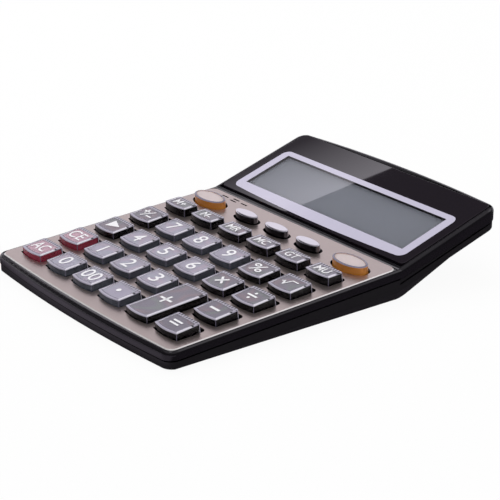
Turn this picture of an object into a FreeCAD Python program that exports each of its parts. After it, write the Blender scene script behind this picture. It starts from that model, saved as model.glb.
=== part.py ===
import FreeCAD, Part
import os
import Sketcher

# Desk calculator: a wedge-shaped case with a flat keypad and a raised display head.
# X runs across the keypad, Y from the user's side to the display, Z up from the table.

doc = FreeCAD.newDocument("desk_calculator")
sheet = doc.addObject("Spreadsheet::Sheet", "Sizes")

# Driving dimensions in millimetres and degrees.
SIZES = {
    # case
    "case_length": 196.6,
    "case_half_width": 74.0,
    "front_bow": 3.4,
    "rear_bow": 2.8,
    "corner_round": 6.0,
    "corner_least": 1.0,
    "rim_round": 2.0,
    "wall": 1.8,
    "floor_thick": 1.6,
    "foot_height": 0.8,
    "keypad_rear_y": 33.9,
    "keypad_rear_z": 15.9,
    "keypad_tilt": 3.0,
    "display_tilt": 17.1,
    "bend_setback": 1.2,
    "trim_proud": 0.3,
    "parting_depth": 4.5,
    "parting_depth_rear": 6.6,
    "seam_gap": 0.4,
    "seam_inset": 0.4,
    "lip_thick": 0.9,
    "lip_height": 0.6,
    "lip_root": 1.5,
    "slab_depth": 10.2,
    "wedge_setback": 3.1,
    "wedge_angle": 26.0,
    "wedge_round": 14.0,
    "crease_front_rise": 0.9,
    "crease_bend_rise": 3.9,
    "side_draft": 22.0,
    # faceplate and keypad deck
    "plate_thick": 0.6,
    "deck_thick": 1.6,
    "plate_inset": 2.1,
    "plate_front_margin": 3.18,
    "plate_bow": 2.2,
    "plate_corner": 4.0,
    "plate_chamfer": 0.45,
    "seat_clearance": 0.15,
    "slot_length": 5.0,
    "slot_width": 0.9,
    "slot_row_s": -2.6,
    "slot_row_step": 2.1,
    "slot_inset": 22.9,
    "slot_spread": 7.9,
    # keys
    "column_inset": 15.15,
    "column_gap": 5.7,
    "first_row_inset": 15.0,
    "row_gap": 6.17,
    "key_bow": 1.2,
    "key_rise": 3.85,
    "key_front_rise": 3.05,
    "key_rear_setback": 1.0,
    "key_corner": 1.6,
    "key_draft": 2.5,
    "key_clearance": 0.8,
    "key_front_gap": 0.3,
    "small_row_s": -30.9,
    "small_row_gap": 19.39,
    "small_key_depth": 9.4,
    "small_key_rise": 4.0,
    "oval_inset": 16.5,
    "oval_row_s": -14.5,
    "oval_width": 22.4,
    "oval_depth": 11.6,
    "oval_rise": 3.6,
    "oval_end": 0.7,
    "chrome_pitch": 24.3,
    "chrome_width": 17.0,
    "chrome_depth": 7.0,
    "chrome_rise": 3.6,
    "flange_lip": 0.6,
    "flange_thick": 0.8,
    "return_gap": 0.1,
    "plunger_diameter": 5.0,
    "plunger_length": 0.5,
    "key_travel": 1.0,
    # contact mat and circuit board
    "dome_diameter": 6.0,
    "dome_height": 0.5,
    "dome_clearance": 0.1,
    "mat_thick": 0.5,
    "board_thick": 1.0,
    "board_inset": 6.5,
    "board_front_inset": 5.5,
    "board_rear_s": -9.6,
    "mat_margin": 1.0,
    "chip_side": 13.0,
    "chip_thick": 1.6,
    "chip_s": -42.0,
    # display head
    "lens_inset": 3.2,
    "lens_front": 3.1,
    "lens_rear_border": 5.02,
    "lens_thick": 2.2,
    "lens_front_gap": 1.6,
    "lens_side_gap": 0.5,
    "lens_corner": 2.5,
    "window_border": 10.0,
    "window_front": 11.9,
    "window_rear_border": 20.0,
    "window_wall": 1.4,
    "panel_margin": 3.0,
    "panel_thick": 2.2,
    "holder_thick": 1.4,
    "holder_margin": 3.0,
    "ribbon_outset": 0.5,
    "ribbon_width": 4.0,
    "ribbon_thick": 0.3,
    "ribbon_land": 2.4,
    # screws
    "screw_diameter": 2.0,
    "screw_clearance": 0.3,
    "screw_head_diameter": 3.8,
    "screw_head_thick": 1.0,
    "boss_diameter": 5.0,
    "front_screw_x": 34.0,
    "front_screw_inset": 1.6,
    "rear_screw_inset_x": 12.8,
    "rear_screw_inset": 5.6,
    "small_screw_diameter": 1.6,
    "small_head_diameter": 3.0,
    "small_head_thick": 0.8,
    "small_boss_diameter": 3.6,
    "tip_gap": 0.4,
    "holder_screw_inset": 4.0,
    # battery and loudspeaker
    "cell_diameter": 10.5,
    "cell_length": 44.5,
    "cell_nub_diameter": 3.8,
    "cell_nub_length": 0.8,
    "bay_inset": 55.5,
    "cell_setback": 2.2,
    "cell_gap": 0.2,
    "bay_wall": 1.2,
    "bay_height": 7.0,
    "contact_thick": 0.5,
    "contact_spring": 2.6,
    "contact_half": 4.5,
    "contact_foot": 1.2,
    "contact_crown": 0.8,
    "door_edge": 0.5,
    "door_tongue": 1.2,
    "door_tongue_thick": 0.7,
    "door_clearance": 0.2,
    "grip_width": 16.0,
    "grip_groove": 0.8,
    "grip_depth": 0.4,
    "speaker_inset": 17.5,
    "speaker_setback": 5.5,
    "speaker_diameter": 16.0,
    "speaker_thick": 3.6,
    "speaker_rim": 1.6,
    "speaker_magnet_diameter": 10.0,
    "speaker_drop": 5.5,
    "foot_diameter": 9.0,
    "foot_inset_x": 14.0,
    "foot_front_inset": 14.0,
    "foot_rear_inset": 22.0,
    # how far cutting shapes run past what they cut
    "overshoot": 1.0,
}
# Sizes that follow from others, so that pieces keep together when one is changed.
COLUMNS = 6
ROWS = 4
LINKED = {
    "wedge_rear_y": "keypad_rear_y + wedge_setback",
    "plate_half_width": "case_half_width - plate_inset",
    "plate_length": "(keypad_rear_y + case_length / 2) / cos(keypad_tilt * 1 deg)"
                    " - plate_bow - plate_front_margin",
    "slot_middle_x": "slot_inset - plate_half_width",
    "column_pitch": "2 * (plate_half_width - column_inset) / %d" % (COLUMNS - 1),
    "key_width": "column_pitch - column_gap",
    "first_row_s": "first_row_inset - plate_length",
    "row_pitch": "(small_row_s - small_row_gap - first_row_s) / %d" % (ROWS - 1),
    "key_depth": "row_pitch - row_gap",
    "oval_x": "plate_half_width - oval_inset",
    "board_half_width": "case_half_width - board_inset",
    "board_front_s": "board_front_inset - plate_length",
    "lens_half_width": "case_half_width - lens_inset",
    "lens_rear": "(case_length / 2 - keypad_rear_y - bend_setback) / cos(display_tilt * 1 deg)"
                 " - lens_rear_border",
    "window_half_width": "lens_half_width - window_border",
    "window_rear": "lens_rear - window_rear_border",
    "ribbon_x": "-window_half_width - ribbon_outset",
    "front_screw_s": "front_screw_inset - plate_length",
    "rear_screw_x": "lens_half_width - rear_screw_inset_x",
    "rear_screw_s": "lens_rear - rear_screw_inset",
    "cell_middle_x": "case_half_width - bay_inset",
    "speaker_x": "speaker_inset - case_half_width",
    "speaker_y": "keypad_rear_y + speaker_setback",
    "speaker_top_z": "keypad_rear_z - speaker_drop",
}
GRIP_GROOVES = 4
NEAR = 0.05

for row, (alias, value) in enumerate(SIZES.items(), start=1):
    sheet.set("A%d" % row, alias)
    sheet.set("B%d" % row, str(value))
    sheet.setAlias("B%d" % row, alias)
doc.recompute()


def cell(text):
    """Writes linked sizes out in full, and turns sheet aliases into references to their cells."""
    for name in reversed(list(LINKED)):
        text = replace_word(text, name, "(%s)" % LINKED[name])
    for alias in sorted(SIZES, key=len, reverse=True):
        text = replace_word(text, alias, "Sizes." + alias)
    return text


def replace_word(text, word, full):
    parts = text.split(word)
    joined = parts[0]
    for part in parts[1:]:
        before = joined[-1:]
        after = part[:1]
        inside_word = before.isalnum() or before in ("_", ".") or after.isalnum() or after == "_"
        joined += (word if inside_word else full) + part
    return joined


def number(text):
    """The value of an expression in sheet aliases."""
    return float(sheet.evalExpression(cell(text)))


def bind(thing, prop, text):
    thing.setExpression(prop, cell(text))


# Levels below the faceplate's top surface, along the keypad's normal.
DECK_UNDER = "(plate_thick + deck_thick)"
FLANGE_TOP = "(%s + return_gap)" % DECK_UNDER
FLANGE_UNDER = "(%s + flange_thick)" % FLANGE_TOP
PLUNGER_END = "(%s + plunger_length)" % FLANGE_UNDER
MAT_TOP = "(%s + key_travel + dome_clearance + dome_height)" % PLUNGER_END
BOARD_TOP = "(%s + mat_thick)" % MAT_TOP
BOARD_UNDER = "(%s + board_thick)" % BOARD_TOP
# Levels below the lens's top surface, along the display's normal.
WINDOW_UNDER = "(lens_thick + window_wall)"
PANEL_UNDER = "(%s + panel_thick)" % WINDOW_UNDER
HOLDER_UNDER = "(%s + holder_thick)" % PANEL_UNDER

# Frames: a tilt about X and the point that the plane turns about.
BEND_Y = "(keypad_rear_y + bend_setback)"
BEND_Z = "(keypad_rear_z + bend_setback * tan(keypad_tilt * 1 deg))"
TABLE = {"tilt": "0", "y": "0", "z": "0"}
KEYPAD = {"tilt": "keypad_tilt", "y": "keypad_rear_y", "z": "keypad_rear_z"}
DISPLAY = {"tilt": "display_tilt", "y": BEND_Y, "z": BEND_Z}
CASE_FRONT = "(-case_length / 2)"
CASE_REAR = "(case_length / 2)"
PAST_FRONT = "(%s - overshoot)" % CASE_FRONT
PAST_REAR = "(%s + overshoot)" % CASE_REAR


def in_side_view(frame, along, up):
    """Y and Z of a point given along and up from a frame's plane."""
    turn = "(%s) * 1 deg" % frame["tilt"]
    return ("(%s + (%s) * cos(%s) - (%s) * sin(%s))" % (frame["y"], along, turn, up, turn),
            "(%s + (%s) * sin(%s) + (%s) * cos(%s))" % (frame["z"], along, turn, up, turn))


def place(thing, frame, x="0", along="0", up="0"):
    """Sets a thing in a frame: x across, then along and up from the frame's own plane."""
    thing.Placement = FreeCAD.Placement(
        FreeCAD.Vector(0, 0, 0), FreeCAD.Rotation(FreeCAD.Vector(1, 0, 0), number(frame["tilt"])))
    y, z = in_side_view(frame, along, up)
    bind(thing, "Placement.Base.x", x)
    bind(thing, "Placement.Base.y", y)
    bind(thing, "Placement.Base.z", z)
    if frame is not TABLE:
        bind(thing, "Placement.Rotation.Angle", frame["tilt"])


def draw(sketch, points, bows=None):
    """Closed outline through points. A side named in bows is an arc through the point given there."""
    bows = bows or {}
    count = len(points)
    at = [FreeCAD.Vector(number(x), number(y), 0) for x, y in points]
    geometry = []
    for side in range(count):
        start, end = at[side], at[(side + 1) % count]
        if side in bows:
            middle = FreeCAD.Vector(number(bows[side][0]), number(bows[side][1]), 0)
            geometry.append(Part.Arc(start, middle, end))
        else:
            geometry.append(Part.LineSegment(start, end))
    sketch.addGeometry(geometry, False)
    anchors = [start_of(sketch, side, at[side]) for side in range(count)]
    for side in range(count):
        here = anchors[side]
        for other in (1, 2):
            if (sketch.getPoint((side - 1) % count, other) - at[side]).Length < 1e-6:
                sketch.addConstraint(Sketcher.Constraint("Coincident", (side - 1) % count, other, side, here))
        pin(sketch, side, here, points[side])
    for side, through in bows.items():
        middle = FreeCAD.Vector(number(through[0]), number(through[1]), 0)
        mark = sketch.addGeometry(Part.Point(middle), True)
        pin(sketch, mark, 1, through)
        sketch.addConstraint(Sketcher.Constraint("PointOnObject", mark, 1, side))


def start_of(sketch, side, place_of):
    return 1 if (sketch.getPoint(side, 1) - place_of).Length < 1e-6 else 2


def pin(sketch, geometry, end, point):
    """Ties a point of a sketch to the sketch's origin."""
    for kind, text in zip(("DistanceX", "DistanceY"), point):
        value = number(text)
        if abs(value) < 1e-9 and text == "0":
            axis = -2 if kind == "DistanceX" else -1
            sketch.addConstraint(Sketcher.Constraint("PointOnObject", geometry, end, axis))
        else:
            index = sketch.addConstraint(Sketcher.Constraint(kind, -1, 1, geometry, end, value))
            bind(sketch, "Constraints[%d]" % index, text)


def rectangle(half_width, front, rear):
    left = "-(%s)" % half_width
    return [(left, front), (half_width, front), (half_width, rear), (left, rear)]


SIDE_VIEW = FreeCAD.Rotation(FreeCAD.Vector(1, 1, 1), 120)


def side_prism(name, points, half_width, x="0"):
    """A side outline in Y and Z, drawn out both ways across X."""
    sketch = doc.addObject("Sketcher::SketchObject", name + "_outline")
    sketch.Placement = FreeCAD.Placement(FreeCAD.Vector(0, 0, 0), SIDE_VIEW)
    bind(sketch, "Placement.Base.x", x)
    draw(sketch, points)
    return extrude(name, sketch, half_width, half_width)


def plan_prism(name, points, frame, low, high, bows=None):
    """An outline in a frame's plane, drawn out from low to high along the frame's normal."""
    sketch = doc.addObject("Sketcher::SketchObject", name + "_outline")
    draw(sketch, points, bows)
    place(sketch, frame)
    return extrude(name, sketch, high, "-(%s)" % low)


def extrude(name, sketch, forward, backward):
    prism = doc.addObject("Part::Extrusion", name)
    prism.Base = sketch
    prism.DirMode = "Normal"
    prism.Solid = True
    bind(prism, "LengthFwd", forward)
    bind(prism, "LengthRev", backward)
    doc.recompute()
    return prism


def cylinder(name, frame, x, along, low, high, diameter):
    """A round post in a frame, from low to high along the frame's normal."""
    post = doc.addObject("Part::Cylinder", name)
    bind(post, "Radius", "(%s) / 2" % diameter)
    bind(post, "Height", "(%s) - (%s)" % (high, low))
    place(post, frame, x, along, low)
    return post


def boolean(kind, name, first, others):
    if kind == "Cut":
        tool = others[0] if len(others) == 1 else boolean("MultiFuse", name + "_tools", others[0], others[1:])
        result = doc.addObject("Part::Cut", name)
        result.Base = first
        result.Tool = tool
    else:
        result = doc.addObject("Part::" + kind, name)
        result.Shapes = [first] + list(others)
    doc.recompute()
    return result


def common(name, *things):
    return boolean("MultiCommon", name, things[0], things[1:])


def fuse(name, *things):
    return boolean("MultiFuse", name, things[0], things[1:])


def cut(name, first, *tools):
    return boolean("Cut", name, first, list(tools))


def round_edges(name, thing, radius, wanted):
    """Rounds the edges of a thing that wanted picks."""
    rounded = doc.addObject("Part::Fillet", name)
    rounded.Base = thing
    value = number(radius)
    rounded.Edges = [(i, value, value) for i, edge in enumerate(thing.Shape.Edges, start=1) if wanted(edge)]
    doc.recompute()
    return rounded


def bevel_edges(name, thing, size, wanted):
    """Takes off the edges of a thing that wanted picks, at an even slope."""
    bevelled = doc.addObject("Part::Chamfer", name)
    bevelled.Base = thing
    value = number(size)
    bevelled.Edges = [(i, value, value) for i, edge in enumerate(thing.Shape.Edges, start=1) if wanted(edge)]
    doc.recompute()
    return bevelled


def upright(edge):
    ends = [vertex.Point for vertex in edge.Vertexes]
    straight = len(ends) == 2 and edge.Curve.TypeId == "Part::GeomLine"
    return straight and abs((ends[0] - ends[1]).z) > edge.Length - NEAR


NODES = {}


def node(label, thing):
    thing.Label = label
    NODES[label] = thing


# Case outlines.
PLAN_HEIGHT = "(case_length / 3)"


def case_plan(name, inset):
    """Plan of the case, drawn in by an inset: bowed front and rear, straight sides, round corners."""
    half = "(case_half_width - (%s))" % inset
    front = "(%s + (%s))" % (CASE_FRONT, inset)
    rear = "(%s - (%s))" % (CASE_REAR, inset)
    points = rectangle(half, "%s + front_bow" % front, "%s - rear_bow" % rear)
    prism = plan_prism(name + "_square", points, TABLE, "0", PLAN_HEIGHT, {0: ("0", front), 2: ("0", rear)})
    return round_edges(name, prism, "max(corner_round - (%s); corner_least)" % inset, upright)


def keypad_line(depth, y):
    """Height of a line that runs a depth under the faceplate's top."""
    return ("(keypad_rear_z + ((%s) - keypad_rear_y) * tan(keypad_tilt * 1 deg)"
            " - (%s) / cos(keypad_tilt * 1 deg))" % (y, depth))


def display_line(depth, y):
    """Height of a line that runs a depth under the lens's top."""
    return ("(%s + ((%s) - %s) * tan(display_tilt * 1 deg)"
            " - (%s) / cos(display_tilt * 1 deg))" % (BEND_Z, y, BEND_Y, depth))


def bend_point(depth):
    """Where the two lines at one depth meet, on the line that halves the bend."""
    lean = "tan((keypad_tilt + display_tilt) / 2 * 1 deg)"
    drop = "((%s) / cos((display_tilt - keypad_tilt) / 2 * 1 deg))" % depth
    share = "cos((keypad_tilt + display_tilt) / 2 * 1 deg)"
    return "(%s + %s * %s * %s)" % (BEND_Y, drop, share, lean), "(%s - %s * %s)" % (BEND_Z, drop, share)


def band(name, top, top_rear, under, under_rear, inset):
    """The part of the case between two depths under its top line, drawn in by an inset."""
    outline = [
        (PAST_FRONT, keypad_line(under, PAST_FRONT)), bend_point(under),
        (PAST_REAR, display_line(under_rear, PAST_REAR)), (PAST_REAR, display_line(top_rear, PAST_REAR)),
        bend_point(top), (PAST_FRONT, keypad_line(top, PAST_FRONT))]
    slab = side_prism(name + "_band", outline, "case_half_width + overshoot")
    return common(name, slab, case_plan(name + "_plan", inset))


# Upper housing: a shell with a deck for the keys and a seat for the display lens.
upper_block = band("upper_block", "trim_proud", "trim_proud", "parting_depth", "parting_depth_rear", "0")


def on_top_rim(edge):
    """Edges round the top of the block: they lie on its top line and bound an upright wall."""
    middle = edge.valueAt((edge.FirstParameter + edge.LastParameter) / 2)
    bend = number(BEND_Y)
    line = keypad_line if middle.y < bend else display_line
    level = number(line("trim_proud", repr(middle.y)))
    across = abs(middle.x) < NEAR and abs(middle.y - bend) < number("rim_round")
    return abs(middle.z - level) < NEAR and not across


SEAT_STEP = "(%s + (lens_front - lens_front_gap - window_wall) * cos(display_tilt * 1 deg))" % BEND_Y
upper_round = round_edges("upper_round", upper_block, "rim_round", on_top_rim)
upper_hollow = common(
    "upper_hollow",
    side_prism("upper_hollow_band", [
        (PAST_FRONT, keypad_line(PLAN_HEIGHT, PAST_FRONT)),
        (PAST_REAR, keypad_line(PLAN_HEIGHT, PAST_REAR)),
        (PAST_REAR, display_line(WINDOW_UNDER, PAST_REAR)),
        (SEAT_STEP, display_line(WINDOW_UNDER, SEAT_STEP)),
        (SEAT_STEP, keypad_line(DECK_UNDER, SEAT_STEP)),
        (PAST_FRONT, keypad_line(DECK_UNDER, PAST_FRONT))], "case_half_width"),
    case_plan("upper_hollow_plan", "wall"))


def plate_outline(half_width, front, rear, bow):
    return rectangle(half_width, front, rear), {0: ("0", "%s - %s" % (front, bow))}


# Faceplate and its seat.
plate_points, plate_bows = plate_outline("plate_half_width", "-plate_length", "0", "plate_bow")
plate_square = plan_prism("plate_square", plate_points, KEYPAD, "-plate_thick", "0", plate_bows)


def stands(edge):
    return len(edge.Vertexes) == 2 and abs(edge.Length - number("plate_thick")) < 1e-4


plate_round = round_edges("plate_round", plate_square, "plate_corner", stands)


def on_plate_top(edge):
    """Edges round the faceplate's top."""
    middle = edge.valueAt((edge.FirstParameter + edge.LastParameter) / 2)
    return abs(middle.z - number(keypad_line("0", repr(middle.y)))) < NEAR


plate_blank = bevel_edges("plate_blank", plate_round, "plate_chamfer", on_plate_top)
seat_points, seat_bows = plate_outline(
    "plate_half_width + seat_clearance", "-plate_length - seat_clearance", "seat_clearance", "plate_bow")
plate_seat = plan_prism("plate_seat", seat_points, KEYPAD, "-plate_thick", "overshoot", seat_bows)

# Key grid: each row from the front gives its labels by column; the plus key spans two rows.
KEY_ROWS = [
    ("key_all_clear", "key_0", "key_00", "key_point", "key_plus", "key_equals"),
    ("key_clear_entry", "key_1", "key_2", "key_3", None, "key_minus"),
    ("key_arrow", "key_4", "key_5", "key_6", "key_times", "key_divide"),
    ("key_sign", "key_7", "key_8", "key_9", "key_percent", "key_root")]
TALL_KEYS = ("key_plus",)
SMALL_KEYS = ["key_function_%d" % (column + 1) for column in range(COLUMNS)]
ORANGE_KEYS = [("key_orange_left", "-oval_x"), ("key_orange_right", "oval_x")]
CHROME_KEYS = [("key_chrome_%d" % (place_no + 2), "%d * chrome_pitch" % place_no) for place_no in (-1, 0, 1)]


def column_x(column):
    return "(%s * column_pitch)" % (column - (COLUMNS - 1) / 2)


def row_s(row):
    return "(first_row_s + %s * row_pitch)" % row


# How far an outline stands outside the key's own, at the sides and at the front.
CAP = ("0", "0")
OPENING = ("key_clearance", "key_front_gap")
FLANGE = ("key_clearance + flange_lip", "key_front_gap + flange_lip")


def key_outline(width, depth, grow, setback="0"):
    """Top view of a key: bowed front edge, straight sides and a rear edge with round corners."""
    grow, front_grow = grow
    half = "((%s) / 2 + (%s))" % (width, grow)
    front = "(-(%s) / 2 - (%s))" % (depth, front_grow)
    rear = "((%s) / 2 + (%s) - (%s))" % (depth, grow, setback)
    corner = "(key_corner + (%s))" % grow
    turn = "%s * (1 - cos(45 deg))" % corner
    points = [("-" + half, front), (half, front), (half, "%s - %s" % (rear, corner)),
              ("%s - %s" % (half, corner), rear), ("%s - %s" % (corner, half), rear),
              ("-" + half, "%s - %s" % (rear, corner))]
    bows = {0: ("0", "%s - key_bow" % front), 2: ("%s - %s" % (half, turn), "%s - %s" % (rear, turn)),
            4: ("%s - %s" % (turn, half), "%s - %s" % (rear, turn))}
    return points, bows


def oval_outline(width, depth, grow):
    """Top view of an oval key: two wide arcs that run into two end arcs without a corner."""
    half = "((%s) / 2 + (%s))" % (width, grow[0])
    reach = "((%s) / 2 + (%s))" % (depth, grow[0])
    end = "(%s * oval_end)" % reach
    wide = "(((%s - %s)^2 + %s^2 - %s^2) / (2 * (%s - %s)))" % (half, end, reach, end, reach, end)
    join_x = "(%s * (%s - %s) / (%s - %s))" % (wide, half, end, wide, end)
    join_y = "(%s - %s + %s * (%s - %s) / (%s - %s))" % (reach, wide, wide, wide, reach, wide, end)
    points = rectangle(join_x, "-" + join_y, join_y)
    return points, {0: ("0", "-" + reach), 1: (half, "0"), 2: ("0", reach), 3: ("-" + half, "0")}


def level_sketch(body, name, outline, level):
    """A sketch parallel to a body's own ground plane."""
    sketch = body.newObject("Sketcher::SketchObject", name)
    ground = [plane for plane in body.Origin.OriginFeatures if plane.Role == "XY_Plane"][0]
    sketch.AttachmentSupport = [(ground, "")]
    sketch.MapMode = "FlatFace"
    bind(sketch, "AttachmentOffset.Base.z", level)
    draw(sketch, *outline)
    return sketch


def pad(body, name, outline, low, high, draft=None):
    """Adds material to a body from low to high; a draft draws the walls in as they rise."""
    feature_sketch = level_sketch(body, name + "_outline", outline, low)
    feature = body.newObject("PartDesign::Pad", name)
    feature.Profile = feature_sketch
    bind(feature, "Length", "(%s) - (%s)" % (high, low))
    if draft:
        bind(feature, "TaperAngle", "-(%s)" % draft)
    return feature


def round_pad(body, name, x, along, low, high, diameter):
    """Adds a round post to a body."""
    post_sketch = body.newObject("Sketcher::SketchObject", name + "_outline")
    ground = [plane for plane in body.Origin.OriginFeatures if plane.Role == "XY_Plane"][0]
    post_sketch.AttachmentSupport = [(ground, "")]
    post_sketch.MapMode = "FlatFace"
    bind(post_sketch, "AttachmentOffset.Base.z", low)
    middle = FreeCAD.Vector(number(x), number(along), 0)
    post_sketch.addGeometry(Part.Circle(middle, FreeCAD.Vector(0, 0, 1), number(diameter) / 2))
    pin(post_sketch, 0, 3, (x, along))
    index = post_sketch.addConstraint(Sketcher.Constraint("Diameter", 0, number(diameter)))
    bind(post_sketch, "Constraints[%d]" % index, diameter)
    feature = body.newObject("PartDesign::Pad", name)
    feature.Profile = post_sketch
    bind(feature, "Length", "(%s) - (%s)" % (high, low))
    return feature


def slope_top(body, name, depth):
    """Takes the top of a key down towards the user."""
    slope_sketch = body.newObject("Sketcher::SketchObject", name + "_outline")
    upright_plane = [plane for plane in body.Origin.OriginFeatures if plane.Role == "YZ_Plane"][0]
    slope_sketch.AttachmentSupport = [(upright_plane, "")]
    slope_sketch.MapMode = "FlatFace"
    past = "(key_bow + overshoot)"
    front = "(-(%s) / 2 - %s)" % (depth, past)
    steep = "((key_rise - key_front_rise) / ((%s) - key_rear_setback))" % depth
    draw(slope_sketch, [(front, "key_front_rise - %s * %s" % (past, steep)),
                        ("(%s) / 2 - key_rear_setback" % depth, "key_rise"), (front, "key_rise + overshoot")])
    feature = body.newObject("PartDesign::Pocket", name)
    feature.Profile = slope_sketch
    feature.Midplane = True
    bind(feature, "Length", "key_width + 2 * overshoot")


def make_key(label, x, along, outline_of, rise, plungers, sloped):
    """A key: drafted cap through the deck, a flange that the deck holds back, and its plungers."""
    body = doc.addObject("PartDesign::Body", label)
    place(body, KEYPAD, x, along)
    if sloped:
        pad(body, label + "_cap", outline_of(CAP, "key_rear_setback"), "-%s" % FLANGE_TOP, rise, "key_draft")
        slope_top(body, label + "_slope", sloped)
    else:
        pad(body, label + "_cap", outline_of(CAP), "-%s" % FLANGE_TOP, rise, "key_draft")
    pad(body, label + "_flange", outline_of(FLANGE),
        "-%s" % FLANGE_UNDER, "-%s" % FLANGE_TOP)
    for index, offset in enumerate(plungers):
        round_pad(body, "%s_plunger_%d" % (label, index), "0", offset,
                  "-%s" % PLUNGER_END, "-%s" % FLANGE_UNDER, "plunger_diameter")
    node(label, body)


TALL_DEPTH = "(key_depth + row_pitch)"


def main_outline(grow, setback="0"):
    return key_outline("key_width", "key_depth", grow, setback)


def tall_outline(grow, setback="0"):
    return key_outline("key_width", TALL_DEPTH, grow, setback)


def small_outline(grow):
    return key_outline("key_width", "small_key_depth", grow)


def orange_outline(grow):
    return oval_outline("oval_width", "oval_depth", grow)


def chrome_outline(grow):
    return oval_outline("chrome_width", "chrome_depth", grow)


# Every key: label, x, place along the keypad, outline, rise and the plungers under it.
KEYS = []
for row, labels in enumerate(KEY_ROWS):
    for column, label in enumerate(labels):
        if label in TALL_KEYS:
            KEYS.append((label, column_x(column), row_s(row + 0.5), tall_outline, "key_rise",
                         ["-row_pitch / 2", "row_pitch / 2"], TALL_DEPTH))
        elif label:
            KEYS.append((label, column_x(column), row_s(row), main_outline, "key_rise", ["0"], "key_depth"))
for column, label in enumerate(SMALL_KEYS):
    KEYS.append((label, column_x(column), "small_row_s", small_outline, "small_key_rise", ["0"], None))
for label, x in ORANGE_KEYS:
    KEYS.append((label, x, "oval_row_s", orange_outline, "oval_rise", ["0"], None))
for label, x in CHROME_KEYS:
    KEYS.append((label, x, "oval_row_s", chrome_outline, "chrome_rise", ["0"], None))
for key in KEYS:
    make_key(*key)

# Openings through faceplate and deck, one for each key, and the sound slots.
openings = []
for label, x, along, outline_of, rise, plungers, sloped in KEYS:
    opening_sketch = doc.addObject("Sketcher::SketchObject", label + "_opening_outline")
    draw(opening_sketch, *outline_of(OPENING))
    place(opening_sketch, KEYPAD, x, along)
    openings.append(extrude(label + "_opening", opening_sketch, "overshoot", DECK_UNDER + " + overshoot"))
for index, (across, step) in enumerate(((-1, 0.5), (0, 0), (0, 1), (1, 0.5))):
    slot_sketch = doc.addObject("Sketcher::SketchObject", "sound_slot_%d_outline" % index)
    draw(slot_sketch, rectangle("slot_length / 2", "-slot_width / 2", "slot_width / 2"))
    place(slot_sketch, KEYPAD, "slot_middle_x + %s * slot_spread" % across,
          "slot_row_s - %s * slot_row_step" % step)
    openings.append(extrude("sound_slot_%d" % index, slot_sketch, "overshoot", DECK_UNDER + " + overshoot"))
key_openings = doc.addObject("Part::Compound", "key_openings")
key_openings.Links = openings
doc.recompute()
node("faceplate", cut("faceplate", plate_blank, key_openings))

# Display lens, its seat and the window behind it.
def lens_stands(edge):
    return len(edge.Vertexes) == 2 and abs(edge.Length - number("lens_thick")) < 1e-4


lens_square = plan_prism(
    "lens_square", rectangle("lens_half_width", "lens_front", "lens_rear"), DISPLAY, "-lens_thick", "0")
node("display_lens", round_edges("display_lens", lens_square, "lens_corner", lens_stands))
lens_seat = plan_prism(
    "lens_seat", rectangle("lens_half_width + lens_side_gap", "lens_front - lens_front_gap",
                           "lens_rear + lens_side_gap"), DISPLAY, "-lens_thick", "overshoot")
window = plan_prism(
    "window", rectangle("window_half_width", "window_front", "window_rear"), DISPLAY,
    "-%s - overshoot" % WINDOW_UNDER, "overshoot")
node("lcd_panel", plan_prism(
    "lcd_panel", rectangle("window_half_width + panel_margin", "window_front - panel_margin",
                           "window_rear + panel_margin"),
    DISPLAY, "-%s" % PANEL_UNDER, "-%s" % WINDOW_UNDER))

# Screws and bosses.
BOARD_SCREWS = [(column_x(column + 0.5), row_s(row + 0.5)) for row in (1, 2) for column in (0, 2, 4)]
HOLDER_SCREWS = [("%d * (window_half_width + panel_margin + small_boss_diameter)" % hand, along)
                 for hand in (-1, 1)
                 for along in ("window_front + holder_screw_inset", "window_rear - holder_screw_inset")]
FRONT_SCREWS = [("%d * front_screw_x" % hand, "front_screw_s") for hand in (-1, 1)]
REAR_SCREWS = [("%d * rear_screw_x" % hand, "rear_screw_s") for hand in (-1, 1)]


def screw(name, frame, x, along, seat, tip, diameter, head_diameter, head_thick):
    """A screw driven upwards: its head sits under the seat level and its tip ends at the tip level."""
    head = cylinder(name + "_head", frame, x, along, "(%s) - (%s)" % (seat, head_thick), seat, head_diameter)
    shank = cylinder(name + "_shank", frame, x, along, seat, tip, diameter)
    return fuse(name, head, shank)


def group(label, things):
    """Several loose solids that share one node."""
    bunch = doc.addObject("Part::Compound", label)
    bunch.Links = things
    doc.recompute()
    node(label, bunch)


upper_bosses = []
upper_bores = []
board_screws = []
SMALL_BORE = "small_screw_diameter + 2 * screw_clearance"
for index, (x, along) in enumerate(BOARD_SCREWS):
    upper_bosses.append(cylinder("board_boss_%d" % index, KEYPAD, x, along,
                                 "-%s" % BOARD_TOP, "-plate_thick - deck_thick / 2", "small_boss_diameter"))
    upper_bores.append(cylinder("board_boss_bore_%d" % index, KEYPAD, x, along,
                                "-%s - overshoot" % BOARD_TOP, "-%s" % DECK_UNDER, SMALL_BORE))
    board_screws.append(screw("board_screw_%d" % index, KEYPAD, x, along, "-%s" % BOARD_UNDER,
                              "-%s - tip_gap" % DECK_UNDER, "small_screw_diameter",
                              "small_head_diameter", "small_head_thick"))
group("board_screws", board_screws)
holder_screws = []
for index, (x, along) in enumerate(HOLDER_SCREWS):
    upper_bosses.append(cylinder("holder_boss_%d" % index, DISPLAY, x, along,
                                 "-%s" % PANEL_UNDER, "-lens_thick - window_wall / 2", "small_boss_diameter"))
    upper_bores.append(cylinder("holder_boss_bore_%d" % index, DISPLAY, x, along,
                                "-%s - overshoot" % PANEL_UNDER, "-%s" % WINDOW_UNDER, SMALL_BORE))
    holder_screws.append(screw("holder_screw_%d" % index, DISPLAY, x, along, "-%s" % HOLDER_UNDER,
                               "-%s - tip_gap" % WINDOW_UNDER, "small_screw_diameter",
                               "small_head_diameter", "small_head_thick"))
group("lcd_holder_screws", holder_screws)

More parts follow.
